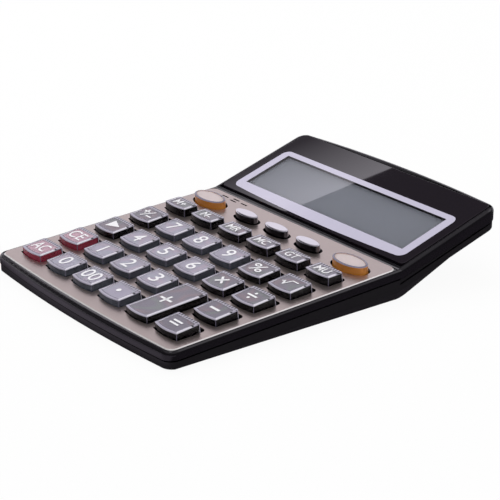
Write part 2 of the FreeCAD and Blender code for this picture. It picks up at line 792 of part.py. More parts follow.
# Housing screws rise from the underside into bosses on the upper housing.
FRONT_UNDER = "(%s - foot_height) * cos(keypad_tilt * 1 deg)" % keypad_line(
    "0", "keypad_rear_y + front_screw_s * cos(keypad_tilt * 1 deg)")
CASE_SCREWS = [("front", KEYPAD, FRONT_SCREWS, FRONT_UNDER, DECK_UNDER, "plate_thick"),
               ("rear", DISPLAY, REAR_SCREWS, "slab_depth", WINDOW_UNDER, "lens_thick")]
BOSS_BORE = "screw_diameter + 2 * screw_clearance"
lower_bosses = []
lower_bores = []
housing_screws = []
for side, frame, places, under, ceiling, skin in CASE_SCREWS:
    meet = "(parting_depth + seam_gap)" if side == "front" else "(parting_depth_rear + seam_gap)"
    seat = "((%s) - floor_thick)" % under
    for index, (x, along) in enumerate(places):
        name = "%s_%d" % (side, index)
        upper_bosses.append(cylinder("upper_boss_" + name, frame, x, along, "-%s" % meet,
                                     "-((%s) + (%s)) / 2" % (ceiling, skin), "boss_diameter"))
        upper_bores.append(cylinder("upper_boss_bore_" + name, frame, x, along, "-%s - overshoot" % meet,
                                    "-%s" % ceiling, BOSS_BORE))
        lower_bosses.append(cylinder("lower_boss_" + name, frame, x, along,
                                     "-(%s) + floor_thick / 2" % under, "-%s" % meet, "boss_diameter"))
        lower_bores.append(cylinder("lower_boss_bore_" + name, frame, x, along, "-(%s) - overshoot" % under,
                                    "-%s + overshoot" % meet, BOSS_BORE))
        lower_bores.append(cylinder("lower_counterbore_" + name, frame, x, along, "-(%s) - overshoot" % under,
                                    "-%s" % seat, "screw_head_diameter + 2 * screw_clearance"))
        housing_screws.append(screw("housing_screw_" + name, frame, x, along, "-%s" % seat,
                                    "-%s - tip_gap" % ceiling, "screw_diameter", "screw_head_diameter",
                                    "screw_head_thick"))
group("housing_screws", housing_screws)

upper_shell = cut("upper_shell", upper_round, upper_hollow)
upper_bossed = fuse("upper_bossed", upper_shell, *upper_bosses)
upper_cutters = [plate_seat, lens_seat, window, key_openings] + upper_bores
node("upper_housing", cut("upper_housing", upper_bossed, *upper_cutters))

# Holder behind the liquid crystal panel, with an opening for the ribbon's end.
holder_plate = plan_prism(
    "holder_plate", rectangle("window_half_width + panel_margin + small_boss_diameter + holder_margin",
                              "window_front", "window_rear + panel_margin"),
    DISPLAY, "-%s" % HOLDER_UNDER, "-%s" % PANEL_UNDER)
holder_bores = [cylinder("holder_bore_%d" % index, DISPLAY, x, along, "-%s - overshoot" % HOLDER_UNDER,
                         "-%s + overshoot" % PANEL_UNDER, SMALL_BORE)
                for index, (x, along) in enumerate(HOLDER_SCREWS)]
node("lcd_holder", cut("lcd_holder", holder_plate, *holder_bores))

# Main board, its chip and the rubber mat on it.
board_bores = [cylinder("board_bore_%d" % index, KEYPAD, x, along, "-%s - overshoot" % BOARD_UNDER,
                        "-%s + overshoot" % BOARD_TOP, SMALL_BORE)
               for index, (x, along) in enumerate(BOARD_SCREWS)]
board_blank = plan_prism("board_blank", rectangle("board_half_width", "board_front_s", "board_rear_s"),
                         KEYPAD, "-%s" % BOARD_UNDER, "-%s" % BOARD_TOP)
node("main_board", cut("main_board", board_blank, *board_bores))
chip_body = doc.addObject("PartDesign::Body", "controller_chip")
place(chip_body, KEYPAD, "0", "chip_s")
pad(chip_body, "chip_case", (rectangle("chip_side / 2", "-chip_side / 2", "chip_side / 2"),),
    "-%s - chip_thick" % BOARD_UNDER, "-%s" % BOARD_UNDER)
node("controller_chip", chip_body)
MAT_REAR = "(board_rear_s - ribbon_land - mat_margin)"
mat_sheet = plan_prism(
    "mat_sheet", rectangle("board_half_width - mat_margin", "board_front_s + mat_margin",
                           "board_rear_s - mat_margin"),
    KEYPAD, "-%s" % BOARD_TOP, "-%s" % MAT_TOP)
domes = []
for label, x, along, outline_of, rise, plungers, sloped in KEYS:
    for index, offset in enumerate(plungers):
        domes.append(cylinder("%s_dome_%d" % (label, index), KEYPAD, x, "%s + %s" % (along, offset),
                              "-%s - mat_thick / 2" % MAT_TOP, "-%s + dome_height" % MAT_TOP,
                              "dome_diameter"))
mat_bores = [cylinder("mat_bore_%d" % index, KEYPAD, x, along, "-%s - overshoot" % BOARD_TOP,
                      "-%s + overshoot" % MAT_TOP, "small_boss_diameter + 2 * screw_clearance")
             for index, (x, along) in enumerate(BOARD_SCREWS)]
NOTCH_HALF = "(ribbon_width / 2 + mat_margin)"
ribbon_notch = plan_prism(
    "ribbon_notch",
    [("ribbon_x - %s" % NOTCH_HALF, MAT_REAR), ("ribbon_x + %s" % NOTCH_HALF, MAT_REAR),
     ("ribbon_x + %s" % NOTCH_HALF, "board_rear_s"), ("ribbon_x - %s" % NOTCH_HALF, "board_rear_s")],
    KEYPAD, "-%s - overshoot" % BOARD_TOP, "-%s + overshoot" % MAT_TOP)
node("keypad_mat", cut("keypad_mat", fuse("mat_domed", mat_sheet, *domes), ribbon_notch, *mat_bores))

# Lower housing: the band under the seam, and the wedge that it stands on.
SLAB_AT_BEND = bend_point("slab_depth")
WEDGE_RISE = "tan(wedge_angle * 1 deg)"


def lower_outline(thick, rise):
    """Side outline under the seam: flat underside, rising wedge and the display head's underside."""
    corner_y = "(wedge_rear_y - (%s) * tan(wedge_angle / 2 * 1 deg))" % thick
    slab = "slab_depth - (%s)" % thick
    top_y = ("((%s - foot_height - (%s) + %s * %s) / (%s - tan(display_tilt * 1 deg)))"
             % (display_line(slab, "0"), thick, corner_y, WEDGE_RISE, WEDGE_RISE))
    return [
        (PAST_FRONT, "foot_height + (%s)" % thick), (corner_y, "foot_height + (%s)" % thick),
        (top_y, display_line(slab, top_y)), (PAST_REAR, display_line(slab, PAST_REAR)),
        (PAST_REAR, display_line("parting_depth_rear + seam_gap - (%s)" % rise, PAST_REAR)),
        bend_point("parting_depth + seam_gap - (%s)" % rise),
        (PAST_FRONT, keypad_line("parting_depth + seam_gap - (%s)" % rise, PAST_FRONT))]


lower_side = side_prism("lower_side", lower_outline("0", "0"), "case_half_width + overshoot")


def wedge_corner(edge):
    middle = edge.CenterOfMass
    return abs(middle.y - number("wedge_rear_y")) < NEAR and abs(middle.z - number("foot_height")) < NEAR


lower_rounded = round_edges("lower_rounded", lower_side, "wedge_round", wedge_corner)
lower_block = common("lower_block", lower_rounded, case_plan("lower_plan", "seam_inset"))
LOWER_HALF = "(case_half_width - seam_inset)"


def side_cutter(name, y, z, tilt, length):
    """Takes the case's side in under its crease line, from a start point along a tilt."""
    sketch = doc.addObject("Sketcher::SketchObject", name + "_outline")
    reach = "slab_depth * 2"
    outside = "%s + wall * 2" % LOWER_HALF
    drawn_in = "%s - %s * tan(side_draft * 1 deg)" % (LOWER_HALF, reach)
    draw(sketch, [(LOWER_HALF, "0"), (drawn_in, "-%s" % reach), (outside, "-%s" % reach), (outside, "0")])
    sketch.Placement = FreeCAD.Placement(
        FreeCAD.Vector(0, 0, 0), FreeCAD.Rotation(FreeCAD.Vector(1, 0, 0), 90 + number(tilt)))
    bind(sketch, "Placement.Base.y", y)
    bind(sketch, "Placement.Base.z", z)
    bind(sketch, "Placement.Rotation.Angle", "90 + %s" % tilt)
    right = extrude(name, sketch, "corner_round", length)
    left = doc.addObject("Part::Mirroring", name + "_left")
    left.Source = right
    left.Normal = FreeCAD.Vector(1, 0, 0)
    doc.recompute()
    return [right, left]


CREASE_RUN = "(%s - %s)" % (SLAB_AT_BEND[0], CASE_FRONT)
CREASE_TILT = "(atan((crease_bend_rise - crease_front_rise) / %s) / 1 deg)" % CREASE_RUN
cutters = side_cutter("side_cutter_front", CASE_FRONT, "foot_height + crease_front_rise", CREASE_TILT,
                      "case_length")
cutters += side_cutter("side_cutter_rear", SLAB_AT_BEND[0], SLAB_AT_BEND[1], "display_tilt",
                       "case_length / 3")
lower_shaped = cut("lower_shaped", lower_block, *cutters)
lower_hollow_side = side_prism(
    "lower_hollow_side", lower_outline("floor_thick", "slab_depth * 2"), "case_half_width")
lower_hollow = common("lower_hollow", lower_hollow_side, case_plan("lower_hollow_plan", "seam_inset + wall"))

# Lip that closes the seam from inside.
LIP_INSET = "(wall + seat_clearance)"
lip_block = band("lip_block", "parting_depth - lip_height", "parting_depth_rear - lip_height",
                 "parting_depth + seam_gap + lip_root", "parting_depth_rear + seam_gap + lip_root", LIP_INSET)
lip = cut("lip", lip_block, case_plan("lip_hollow", LIP_INSET + " + lip_thick"))


def box(name, x_low, x_high, y_low, y_high, z_low, z_high):
    block = doc.addObject("Part::Box", name)
    bind(block, "Length", "(%s) - (%s)" % (x_high, x_low))
    bind(block, "Width", "(%s) - (%s)" % (y_high, y_low))
    bind(block, "Height", "(%s) - (%s)" % (z_high, z_low))
    place(block, TABLE, x_low, y_low, z_low)
    return block


# Battery bay and its door: the door slides out to the rear, under the rising wedge.
FLOOR_TOP = "(foot_height + floor_thick)"
CELL_Y = "(keypad_rear_y - cell_setback)"
CELL_Z = "(%s + cell_gap + cell_diameter / 2)" % FLOOR_TOP
BAY_FRONT = "(%s - cell_diameter / 2 - cell_gap)" % CELL_Y
BAY_REAR = "(wedge_rear_y + (floor_thick + door_clearance) / %s)" % WEDGE_RISE
BAY_HALF = "(cell_length + contact_spring + cell_gap)"
DOOR_HALF = "(%s - door_tongue - 2 * door_clearance)" % BAY_HALF
DOOR_REAR = "(wedge_rear_y + (floor_thick - door_edge) / %s)" % WEDGE_RISE
FLOOR_MIDDLE = "(foot_height + floor_thick / 2)"


def bay_box(name, half, front, rear, low, high):
    return box(name, "cell_middle_x - %s" % half, "cell_middle_x + %s" % half, front, rear, low, high)


bay_outer = bay_box("bay_outer", "(%s + bay_wall)" % BAY_HALF, BAY_FRONT + " - bay_wall",
                    BAY_REAR + " + bay_wall", FLOOR_MIDDLE, "%s + bay_height" % FLOOR_TOP)
bay_inner = bay_box("bay_inner", BAY_HALF, BAY_FRONT, BAY_REAR, "0",
                    "%s + bay_height + overshoot" % FLOOR_TOP)
bay_walls = cut("bay_walls", bay_outer, bay_inner)
door_way = bay_box("door_way", "(%s + door_clearance)" % DOOR_HALF, BAY_FRONT, BAY_REAR, "0",
                   FLOOR_TOP + " + wall")
tongue_way = bay_box("tongue_way", BAY_HALF, BAY_FRONT, BAY_REAR,
                     "%s - door_tongue_thick - door_clearance" % FLOOR_TOP, FLOOR_TOP + " + wall")
door_plate = bay_box("door_plate", DOOR_HALF, BAY_FRONT + " + door_clearance", DOOR_REAR, "0", FLOOR_TOP)
door_tongues = bay_box("door_tongues", "(%s + door_tongue)" % DOOR_HALF, BAY_FRONT + " + door_clearance",
                       DOOR_REAR, "%s - door_tongue_thick" % FLOOR_TOP, FLOOR_TOP)
door_blank = common("door_blank", lower_shaped, fuse("door_slab", door_plate, door_tongues))
grooves = []
for index in range(GRIP_GROOVES):
    groove_y = "(%s + door_clearance + (%d + 2) * 2 * grip_groove)" % (BAY_FRONT, index)
    grooves.append(box("grip_groove_%d" % index, "cell_middle_x - grip_width / 2",
                       "cell_middle_x + grip_width / 2", groove_y, groove_y + " + grip_groove", "0",
                       "foot_height + grip_depth"))
node("battery_door", cut("battery_door", door_blank, *grooves))


def lying_cylinder(name, x_low, x_high, diameter):
    """A round bar along X at the cells' height."""
    bar = doc.addObject("Part::Cylinder", name)
    bind(bar, "Radius", "(%s) / 2" % diameter)
    bind(bar, "Height", "(%s) - (%s)" % (x_high, x_low))
    bar.Placement = FreeCAD.Placement(FreeCAD.Vector(0, 0, 0), FreeCAD.Rotation(FreeCAD.Vector(0, 1, 0), 90))
    bind(bar, "Placement.Base.x", x_low)
    bind(bar, "Placement.Base.y", CELL_Y)
    bind(bar, "Placement.Base.z", CELL_Z)
    return bar


CELLS = [("battery_cell_left", "cell_middle_x - cell_length"), ("battery_cell_right", "cell_middle_x")]
for label, start in CELLS:
    shoulder = "%s + cell_length - cell_nub_length" % start
    can = lying_cylinder(label + "_can", start, shoulder, "cell_diameter")
    nub = lying_cylinder(label + "_nub", shoulder, "%s + cell_length" % start, "cell_nub_diameter")
    node(label, fuse(label, can, nub))


def contact(label, hand):
    """A sheet contact against a bay end, pressed out in the middle towards the cell."""
    sketch = doc.addObject("Sketcher::SketchObject", label + "_outline")
    sheet_points = [
        ("0", "-contact_half"), ("contact_thick", "-contact_half"),
        ("contact_thick", "-contact_half + contact_foot"), ("contact_spring", "-contact_crown"),
        ("contact_spring", "contact_crown"), ("contact_thick", "contact_half - contact_foot"),
        ("contact_thick", "contact_half"), ("0", "contact_half"), ("0", "contact_half - contact_foot"),
        ("contact_spring - contact_thick", "contact_crown"),
        ("contact_spring - contact_thick", "-contact_crown"), ("0", "-contact_half + contact_foot")]
    draw(sketch, [("%d * (%s)" % (-hand, x), y) for x, y in sheet_points])
    place(sketch, TABLE, "cell_middle_x + %d * %s" % (hand, BAY_HALF), CELL_Y, FLOOR_TOP + " + cell_gap")
    node(label, extrude(label, sketch, "bay_height", "0"))


contact("battery_contact_negative", -1)
contact("battery_contact_positive", 1)

# Loudspeaker on a round cradle under the sound slots.
SPEAKER_SEAT = "(speaker_top_z - speaker_rim)"
CRADLE_OUTER = "(speaker_diameter + 2 * screw_clearance + 2 * bay_wall)"
speaker_rim = cylinder("speaker_rim_disc", TABLE, "speaker_x", "speaker_y", SPEAKER_SEAT, "speaker_top_z",
                       "speaker_diameter")
speaker_magnet = cylinder("speaker_magnet", TABLE, "speaker_x", "speaker_y", "speaker_top_z - speaker_thick",
                          SPEAKER_SEAT, "speaker_magnet_diameter")
node("speaker", fuse("speaker", speaker_rim, speaker_magnet))
cradle_post = cylinder("cradle_post", TABLE, "speaker_x", "speaker_y", FLOOR_MIDDLE,
                       "%s + speaker_rim / 2" % SPEAKER_SEAT, CRADLE_OUTER)
cradle_bore = cylinder("cradle_bore", TABLE, "speaker_x", "speaker_y", "0", SPEAKER_SEAT + " + overshoot",
                       "speaker_diameter - 2 * bay_wall")
cradle_pocket = cylinder("cradle_pocket", TABLE, "speaker_x", "speaker_y", SPEAKER_SEAT, "speaker_top_z",
                         "speaker_diameter + 2 * screw_clearance")
cradle = cut("cradle", cradle_post, cradle_bore, cradle_pocket)

# Everything moulded inside the lower shell is trimmed to the shell's own outside.
fittings = common("fittings", lower_shaped, fuse("fittings_rough", bay_walls, cradle, *lower_bosses))
lower_shell = cut("lower_shell", lower_shaped, lower_hollow)
lower_fitted = fuse("lower_fitted", lower_shell, fittings, lip)
node("lower_housing", cut("lower_housing", lower_fitted, door_way, tongue_way, *lower_bores))

# Ribbon from the liquid crystal panel's front ledge to the rear edge of the main board.
ribbon_low = [in_side_view(KEYPAD, "board_rear_s - ribbon_land", "-%s" % BOARD_TOP),
              in_side_view(KEYPAD, "board_rear_s", "-%s" % BOARD_TOP),
              in_side_view(DISPLAY, "window_front - panel_margin", "-%s - ribbon_thick" % PANEL_UNDER),
              in_side_view(DISPLAY, "window_front - screw_clearance", "-%s - ribbon_thick" % PANEL_UNDER)]
ribbon_high = [in_side_view(DISPLAY, "window_front - screw_clearance", "-%s" % PANEL_UNDER),
               in_side_view(DISPLAY, "window_front - panel_margin", "-%s" % PANEL_UNDER),
               in_side_view(KEYPAD, "board_rear_s", "-%s + ribbon_thick" % BOARD_TOP),
               in_side_view(KEYPAD, "board_rear_s - ribbon_land", "-%s + ribbon_thick" % BOARD_TOP)]
node("display_ribbon", side_prism("display_ribbon", ribbon_low + ribbon_high, "ribbon_width / 2", "ribbon_x"))

# Rubber feet under the flat of the wedge.
FOOT_ROWS = [("front", "%s + foot_front_inset" % CASE_FRONT), ("rear", "wedge_rear_y - foot_rear_inset")]
feet = []
for hand in (-1, 1):
    foot_x = "%d * (case_half_width - foot_inset_x)" % hand
    for name, y in FOOT_ROWS:
        feet.append(cylinder("foot_%s_%d" % (name, hand + 1), TABLE, foot_x, y, "0", "foot_height",
                             "foot_diameter"))
group("rubber_feet", feet)


def check(label, thing):
    """Stops the script if a sub-part failed or is not a sound shape."""
    if "Invalid" in thing.State or "Error" in thing.State:
        raise RuntimeError("%s did not recompute: %s" % (label, thing.State))
    if thing.Shape.isNull() or not thing.Shape.isValid():
        raise RuntimeError("%s has no valid shape" % label)


doc.recompute()
for thing in doc.Objects:
    if "Invalid" in thing.State or "Error" in thing.State:
        raise RuntimeError("%s did not recompute: %s" % (thing.Label, thing.State))
for label, thing in NODES.items():
    check(label, thing)
os.makedirs("parts", exist_ok=True)
for label, thing in NODES.items():
    thing.Shape.exportStep("parts/%s.step" % label)
    extent = thing.Shape.optimalBoundingBox(False)
    print("%-24s %2d solids %10.1f mm3  x %.1f..%.1f y %.1f..%.1f z %.1f..%.1f" % (
        label, len(thing.Shape.Solids), thing.Shape.Volume,
        extent.XMin, extent.XMax, extent.YMin, extent.YMax, extent.ZMin, extent.ZMax))
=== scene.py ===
import math

import bpy
from mathutils import Matrix, Vector


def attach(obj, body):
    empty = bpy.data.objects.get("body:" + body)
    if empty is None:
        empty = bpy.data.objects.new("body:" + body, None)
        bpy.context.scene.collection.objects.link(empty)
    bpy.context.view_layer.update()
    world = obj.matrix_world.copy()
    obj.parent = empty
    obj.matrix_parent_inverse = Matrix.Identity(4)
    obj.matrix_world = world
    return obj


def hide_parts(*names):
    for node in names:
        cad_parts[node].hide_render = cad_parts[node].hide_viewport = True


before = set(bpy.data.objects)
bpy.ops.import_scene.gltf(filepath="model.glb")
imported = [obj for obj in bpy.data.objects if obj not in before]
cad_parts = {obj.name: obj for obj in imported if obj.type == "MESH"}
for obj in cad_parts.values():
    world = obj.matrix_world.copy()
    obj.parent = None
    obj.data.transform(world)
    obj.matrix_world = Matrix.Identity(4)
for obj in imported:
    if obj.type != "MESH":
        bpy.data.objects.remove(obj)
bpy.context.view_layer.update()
MM = 0.001


# Camera: a long lens from the right of the user's side, a little above the keypad.
# Its place and turn put the case where the photograph has it.
CAMERA_PLACE = Vector((0.61576, -0.46075, 0.30977))
CAMERA_RIGHT = Vector((0.6017, 0.7987, 0.0)).normalized()
CAMERA_BACK = Vector((0.7445, -0.5608, 0.3623)).normalized()
CAMERA_UP = CAMERA_BACK.cross(CAMERA_RIGHT)
LENS_LENGTH = 123.35
SENSOR_WIDTH = 36.0
camera_data = bpy.data.cameras.new("camera")
camera_data.lens = LENS_LENGTH
camera_data.sensor_width = SENSOR_WIDTH
camera_data.clip_start = 0.01
camera = bpy.data.objects.new("camera", camera_data)
bpy.context.scene.collection.objects.link(camera)
turn = Matrix((CAMERA_RIGHT, CAMERA_UP, CAMERA_BACK)).transposed().to_4x4()
camera.matrix_world = Matrix.Translation(CAMERA_PLACE) @ turn
bpy.context.scene.camera = camera
bpy.context.scene.view_settings.view_transform = "Standard"


# Studio: a white table in a room with one large white card behind and left of the object.
# Polished faces mirror the card's sharp edge, two soft lamps and a faint glow from overhead.
# The table is plain white to the camera, keeps a faint shadow and is dim where a wall mirrors it.
CARD_EDGE = Vector((-0.48724, 0.39593, -0.77835))
CARD_EDGE_BLUR = 0.0004
CARD_NEAR_EDGE = 1.7
CARD_LOW = 0.22
CARD_LOW_AT = 0.034
CARD_RISE_AT = (0.06, 0.17)
CARD_FULL = 1.05
CARD_TINT = (1.0, 0.96, 1.04)
ROOM = 0.09
ROOM_LIGHT = 0.75
OVERHEAD = 0.5
OVERHEAD_AT = (0.6, 0.85)
RIM_LAMPS = ((Vector((0.15, 0.58, 0.80)).normalized(), 24.0, 1.2),
             (Vector((-0.74, -0.36, 0.56)).normalized(), 20.0, 0.14))
RIM_LAMP_CORE = 0.6
WHITE = (1.0, 1.0, 1.0)
TABLE_SIZE = 8.0
TABLE_GREY = 0.88
TABLE_GLOW = 0.94
TABLE_MIRRORED = ((-0.105, 0.48), (-0.0985, 0.10))
TABLE_MIRRORED_TINT = (1.0, 0.88, 1.08)
SOFT_BOX_SIZE = 0.9
SOFT_BOX_POWER = 5.0
SOFT_BOX_PLACE = (-0.55, 0.15, 1.0)
SOFT_BOX_AIM = Vector((0.0, 0.0, 0.02))


def place_node(tree, kind, **settings):
    """A new node with its plain settings."""
    made = tree.nodes.new(kind)
    for name, value in settings.items():
        setattr(made, name, value)
    return made


def calculate(tree, operation, first, second=None):
    """A Math node; each input is a number or another node's output."""
    made = place_node(tree, "ShaderNodeMath", operation=operation)
    for socket, value in zip(made.inputs, (first, second)):
        if value is None:
            continue
        if isinstance(value, (int, float)):
            socket.default_value = value
        else:
            tree.links.new(value, socket)
    return made.outputs[0]


def blend(tree, factor, first, second):
    """A colour mix; each colour is three numbers or another node's output."""
    made = place_node(tree, "ShaderNodeMix", data_type="RGBA")
    tree.links.new(factor, made.inputs["Factor"])
    for name, colour in (("A", first), ("B", second)):
        if isinstance(colour, tuple):
            made.inputs[name].default_value = (*colour, 1.0)
        else:
            tree.links.new(colour, made.inputs[name])
    return made.outputs["Result"]


def ramp(tree, value, low, high, start, end, smooth_step=True):
    """Maps a value from one range to another, without going past its ends."""
    made = place_node(tree, "ShaderNodeMapRange", interpolation_type="SMOOTHSTEP" if smooth_step else "LINEAR")
    for name, number in (("From Min", low), ("From Max", high), ("To Min", start), ("To Max", end)):
        made.inputs[name].default_value = number
    tree.links.new(value, made.inputs["Value"])
    return made.outputs[0]


def towards(tree, vector, way):
    """How far a direction agrees with a fixed one."""
    made = place_node(tree, "ShaderNodeVectorMath", operation="DOT_PRODUCT")
    made.inputs[1].default_value = way
    tree.links.new(vector, made.inputs[0])
    return made.outputs["Value"]


def told_apart(tree):
    """The rays that a polished face mirrors, and those that see a place outright or through clear plastic."""
    path = place_node(tree, "ShaderNodeLightPath")
    through = path.outputs["Is Transmission Ray"]
    mirror = calculate(tree, "MULTIPLY", path.outputs["Is Glossy Ray"], calculate(tree, "SUBTRACT", 1.0, through))
    return mirror, calculate(tree, "MAXIMUM", path.outputs["Is Camera Ray"], through)


world = bpy.data.worlds.new("studio")
bpy.context.scene.world = world
world.use_nodes = True
sky = world.node_tree
background = sky.nodes["Background"]
direction = place_node(sky, "ShaderNodeTexCoord").outputs["Generated"]
beside = towards(sky, direction, CARD_EDGE)
card_level = calculate(sky, "ADD", ramp(sky, beside, 0.0, CARD_LOW_AT, CARD_NEAR_EDGE, CARD_LOW, False),
                       ramp(sky, beside, *CARD_RISE_AT, 0.0, CARD_FULL - CARD_LOW))
card = calculate(sky, "MULTIPLY", ramp(sky, beside, -CARD_EDGE_BLUR, CARD_EDGE_BLUR, 0.0, 1.0), card_level)
mirrored = calculate(sky, "MAXIMUM", card, ROOM)
for way, spread, power in RIM_LAMPS:
    outer, inner = (math.cos(math.radians(angle)) for angle in (spread, spread * RIM_LAMP_CORE))
    mirrored = calculate(sky, "MAXIMUM", mirrored, ramp(sky, towards(sky, direction, way), outer, inner, 0.0, power))
overhead = ramp(sky, towards(sky, direction, (0.0, 0.0, 1.0)), *OVERHEAD_AT, 0.0, OVERHEAD)
mirrored = calculate(sky, "MAXIMUM", mirrored, overhead)
mirror_ray, seen_ray = told_apart(sky)
soft = calculate(sky, "MULTIPLY", calculate(sky, "SUBTRACT", 1.0, seen_ray), ROOM_LIGHT)
steady = calculate(sky, "MULTIPLY", calculate(sky, "ADD", seen_ray, soft),
                   calculate(sky, "SUBTRACT", 1.0, mirror_ray))
strength = calculate(sky, "ADD", steady, calculate(sky, "MULTIPLY", mirrored, mirror_ray))
sky.links.new(strength, background.inputs["Strength"])
sky.links.new(blend(sky, mirror_ray, WHITE, CARD_TINT), background.inputs["Color"])

bpy.ops.object.select_all(action="DESELECT")
bpy.ops.mesh.primitive_plane_add(size=TABLE_SIZE, location=(0.0, 0.0, 0.0))
table = bpy.context.object
table.name = "table"
table_white = bpy.data.materials.new("table_white")
table_white.use_nodes = True
tree = table_white.node_tree
tree.nodes.remove(tree.nodes["Principled BSDF"])
lit = place_node(tree, "ShaderNodeBsdfDiffuse")
lit.inputs["Color"].default_value = (TABLE_GREY, TABLE_GREY, TABLE_GREY, 1.0)
glow = place_node(tree, "ShaderNodeEmission")
share = place_node(tree, "ShaderNodeMixShader")
spot = place_node(tree, "ShaderNodeTexCoord")
ground = place_node(tree, "ShaderNodeSeparateXYZ")
tree.links.new(spot.outputs["Object"], ground.inputs[0])
(near_y, near_level), (far_y, far_level) = TABLE_MIRRORED
mirror_level = ramp(tree, ground.outputs["Y"], near_y, far_y, near_level, far_level)
mirror_ray, seen_ray = told_apart(tree)
level = calculate(tree, "ADD", calculate(tree, "MULTIPLY", mirror_ray, mirror_level),
                  calculate(tree, "SUBTRACT", 1.0, mirror_ray))
tree.links.new(level, glow.inputs["Strength"])
tree.links.new(blend(tree, mirror_ray, WHITE, TABLE_MIRRORED_TINT), glow.inputs["Color"])
white_share = calculate(tree, "MAXIMUM", calculate(tree, "MULTIPLY", seen_ray, TABLE_GLOW), mirror_ray)
tree.links.new(white_share, share.inputs[0])
tree.links.new(lit.outputs[0], share.inputs[1])
tree.links.new(glow.outputs[0], share.inputs[2])
tree.links.new(share.outputs[0], tree.nodes["Material Output"].inputs["Surface"])
table.data.materials.append(table_white)

lamp_data = bpy.data.lights.new("soft_box", "AREA")
lamp_data.shape = "RECTANGLE"
lamp_data.size = SOFT_BOX_SIZE
lamp_data.size_y = SOFT_BOX_SIZE
lamp_data.energy = SOFT_BOX_POWER
lamp = bpy.data.objects.new("soft_box", lamp_data)
bpy.context.scene.collection.objects.link(lamp)
lamp.location = SOFT_BOX_PLACE
lamp.rotation_euler = (SOFT_BOX_AIM - lamp.location).to_track_quat("-Z", "Y").to_euler()
lamp.visible_glossy = False
lamp.visible_transmission = False


# Upper housing: one glossy black moulding with the keypad deck and the display head.
# Polished plastic with a patchy gloss; its wall carries painted shade, a black band along the seam above the lower
# housing, wider than the real gap. The rim behind the lens carries painted shade too: there the moulding is metallic
# black, so it mirrors nothing.
PATCH_SCALE = 45.0
BUMP_DEPTH = 0.02 * MM


def moulding_effect():
    """Group: fine moulded grain as a roughness, a bump height and a patchy shade."""
    group = bpy.data.node_groups.new("moulded_grain", "ShaderNodeTree")
    for name in ("Scale", "Smooth", "Rough"):
        group.interface.new_socket(name, in_out="INPUT", socket_type="NodeSocketFloat")
    for name in ("Roughness", "Height", "Shade"):
        group.interface.new_socket(name, in_out="OUTPUT", socket_type="NodeSocketFloat")
    enter = group.nodes.new("NodeGroupInput")
    leave = group.nodes.new("NodeGroupOutput")
    place = group.nodes.new("ShaderNodeTexCoord")
    grain = place_node(group, "ShaderNodeTexNoise")
    grain.inputs["Detail"].default_value = 3.0
    group.links.new(place.outputs["Object"], grain.inputs["Vector"])
    group.links.new(enter.outputs["Scale"], grain.inputs["Scale"])
    patch = place_node(group, "ShaderNodeTexNoise")
    patch.inputs["Scale"].default_value = PATCH_SCALE
    group.links.new(place.outputs["Object"], patch.inputs["Vector"])
    spread = place_node(group, "ShaderNodeMapRange")
    group.links.new(patch.outputs["Fac"], spread.inputs["Value"])
    spread.inputs["From Min"].default_value = 0.3
    spread.inputs["From Max"].default_value = 0.7
    group.links.new(enter.outputs["Smooth"], spread.inputs["To Min"])
    group.links.new(enter.outputs["Rough"], spread.inputs["To Max"])
    group.links.new(spread.outputs[0], leave.inputs["Roughness"])
    group.links.new(grain.outputs["Fac"], leave.inputs["Height"])
    group.links.new(patch.outputs["Fac"], leave.inputs["Shade"])
    return group


moulded_grain = moulding_effect()


def moulded(name, dark, light, smooth, rough, scale, bump):
    """A moulded plastic: two shades, a roughness range and a fine bump."""
    material = bpy.data.materials.new(name)
    material.use_nodes = True
    tree = material.node_tree
    shader = tree.nodes["Principled BSDF"]
    grain = place_node(tree, "ShaderNodeGroup", node_tree=moulded_grain)
    grain.inputs["Scale"].default_value = scale
    grain.inputs["Smooth"].default_value = smooth
    grain.inputs["Rough"].default_value = rough
    tree.links.new(blend(tree, grain.outputs["Shade"], dark, light), shader.inputs["Base Color"])
    tree.links.new(grain.outputs["Roughness"], shader.inputs["Roughness"])
    rise = place_node(tree, "ShaderNodeBump")
    rise.inputs["Strength"].default_value = bump
    rise.inputs["Distance"].default_value = BUMP_DEPTH
    tree.links.new(grain.outputs["Height"], rise.inputs["Height"])
    tree.links.new(rise.outputs["Normal"], shader.inputs["Normal"])
    return material


def finish_node(node, material):
    """Gives a CAD node its finish."""
    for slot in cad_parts[node].material_slots:
        slot.material = material


KEYPAD_TILT = math.radians(3.0)
DISPLAY_TILT = math.radians(17.1)
KEYPAD_START = Vector((0.0, 33.9 * MM, 15.9 * MM))
DISPLAY_START = Vector((0.0, 35.1 * MM, (15.9 + 1.2 * math.tan(KEYPAD_TILT)) * MM))
KEYPAD_UP = (0.0, -math.sin(KEYPAD_TILT), math.cos(KEYPAD_TILT))
DISPLAY_UP = (0.0, -math.sin(DISPLAY_TILT), math.cos(DISPLAY_TILT))
DISPLAY_ALONG = (0.0, math.cos(DISPLAY_TILT), math.sin(DISPLAY_TILT))
BEND_Y = 34.5 * MM
# Painted shade along the seam: a black band reaching SEAM_HALF to each side of the parting line.
SEAM_HALF = 0.42 * MM
SEAM_LINES = ((KEYPAD_UP, KEYPAD_START, 4.7 * MM, "LESS_THAN"),
              (DISPLAY_UP, DISPLAY_START, 6.8 * MM, "GREATER_THAN"))
# Painted shade on the rim behind the lens: from here back, faces that look up turn metallic black and mirror nothing.
RIM_SHADE_START = DISPLAY_START.dot(DISPLAY_ALONG) + 61.2 * MM
RIM_SHADE_FADE = 0.2 * MM
RIM_SHADE_SHARE = 0.9


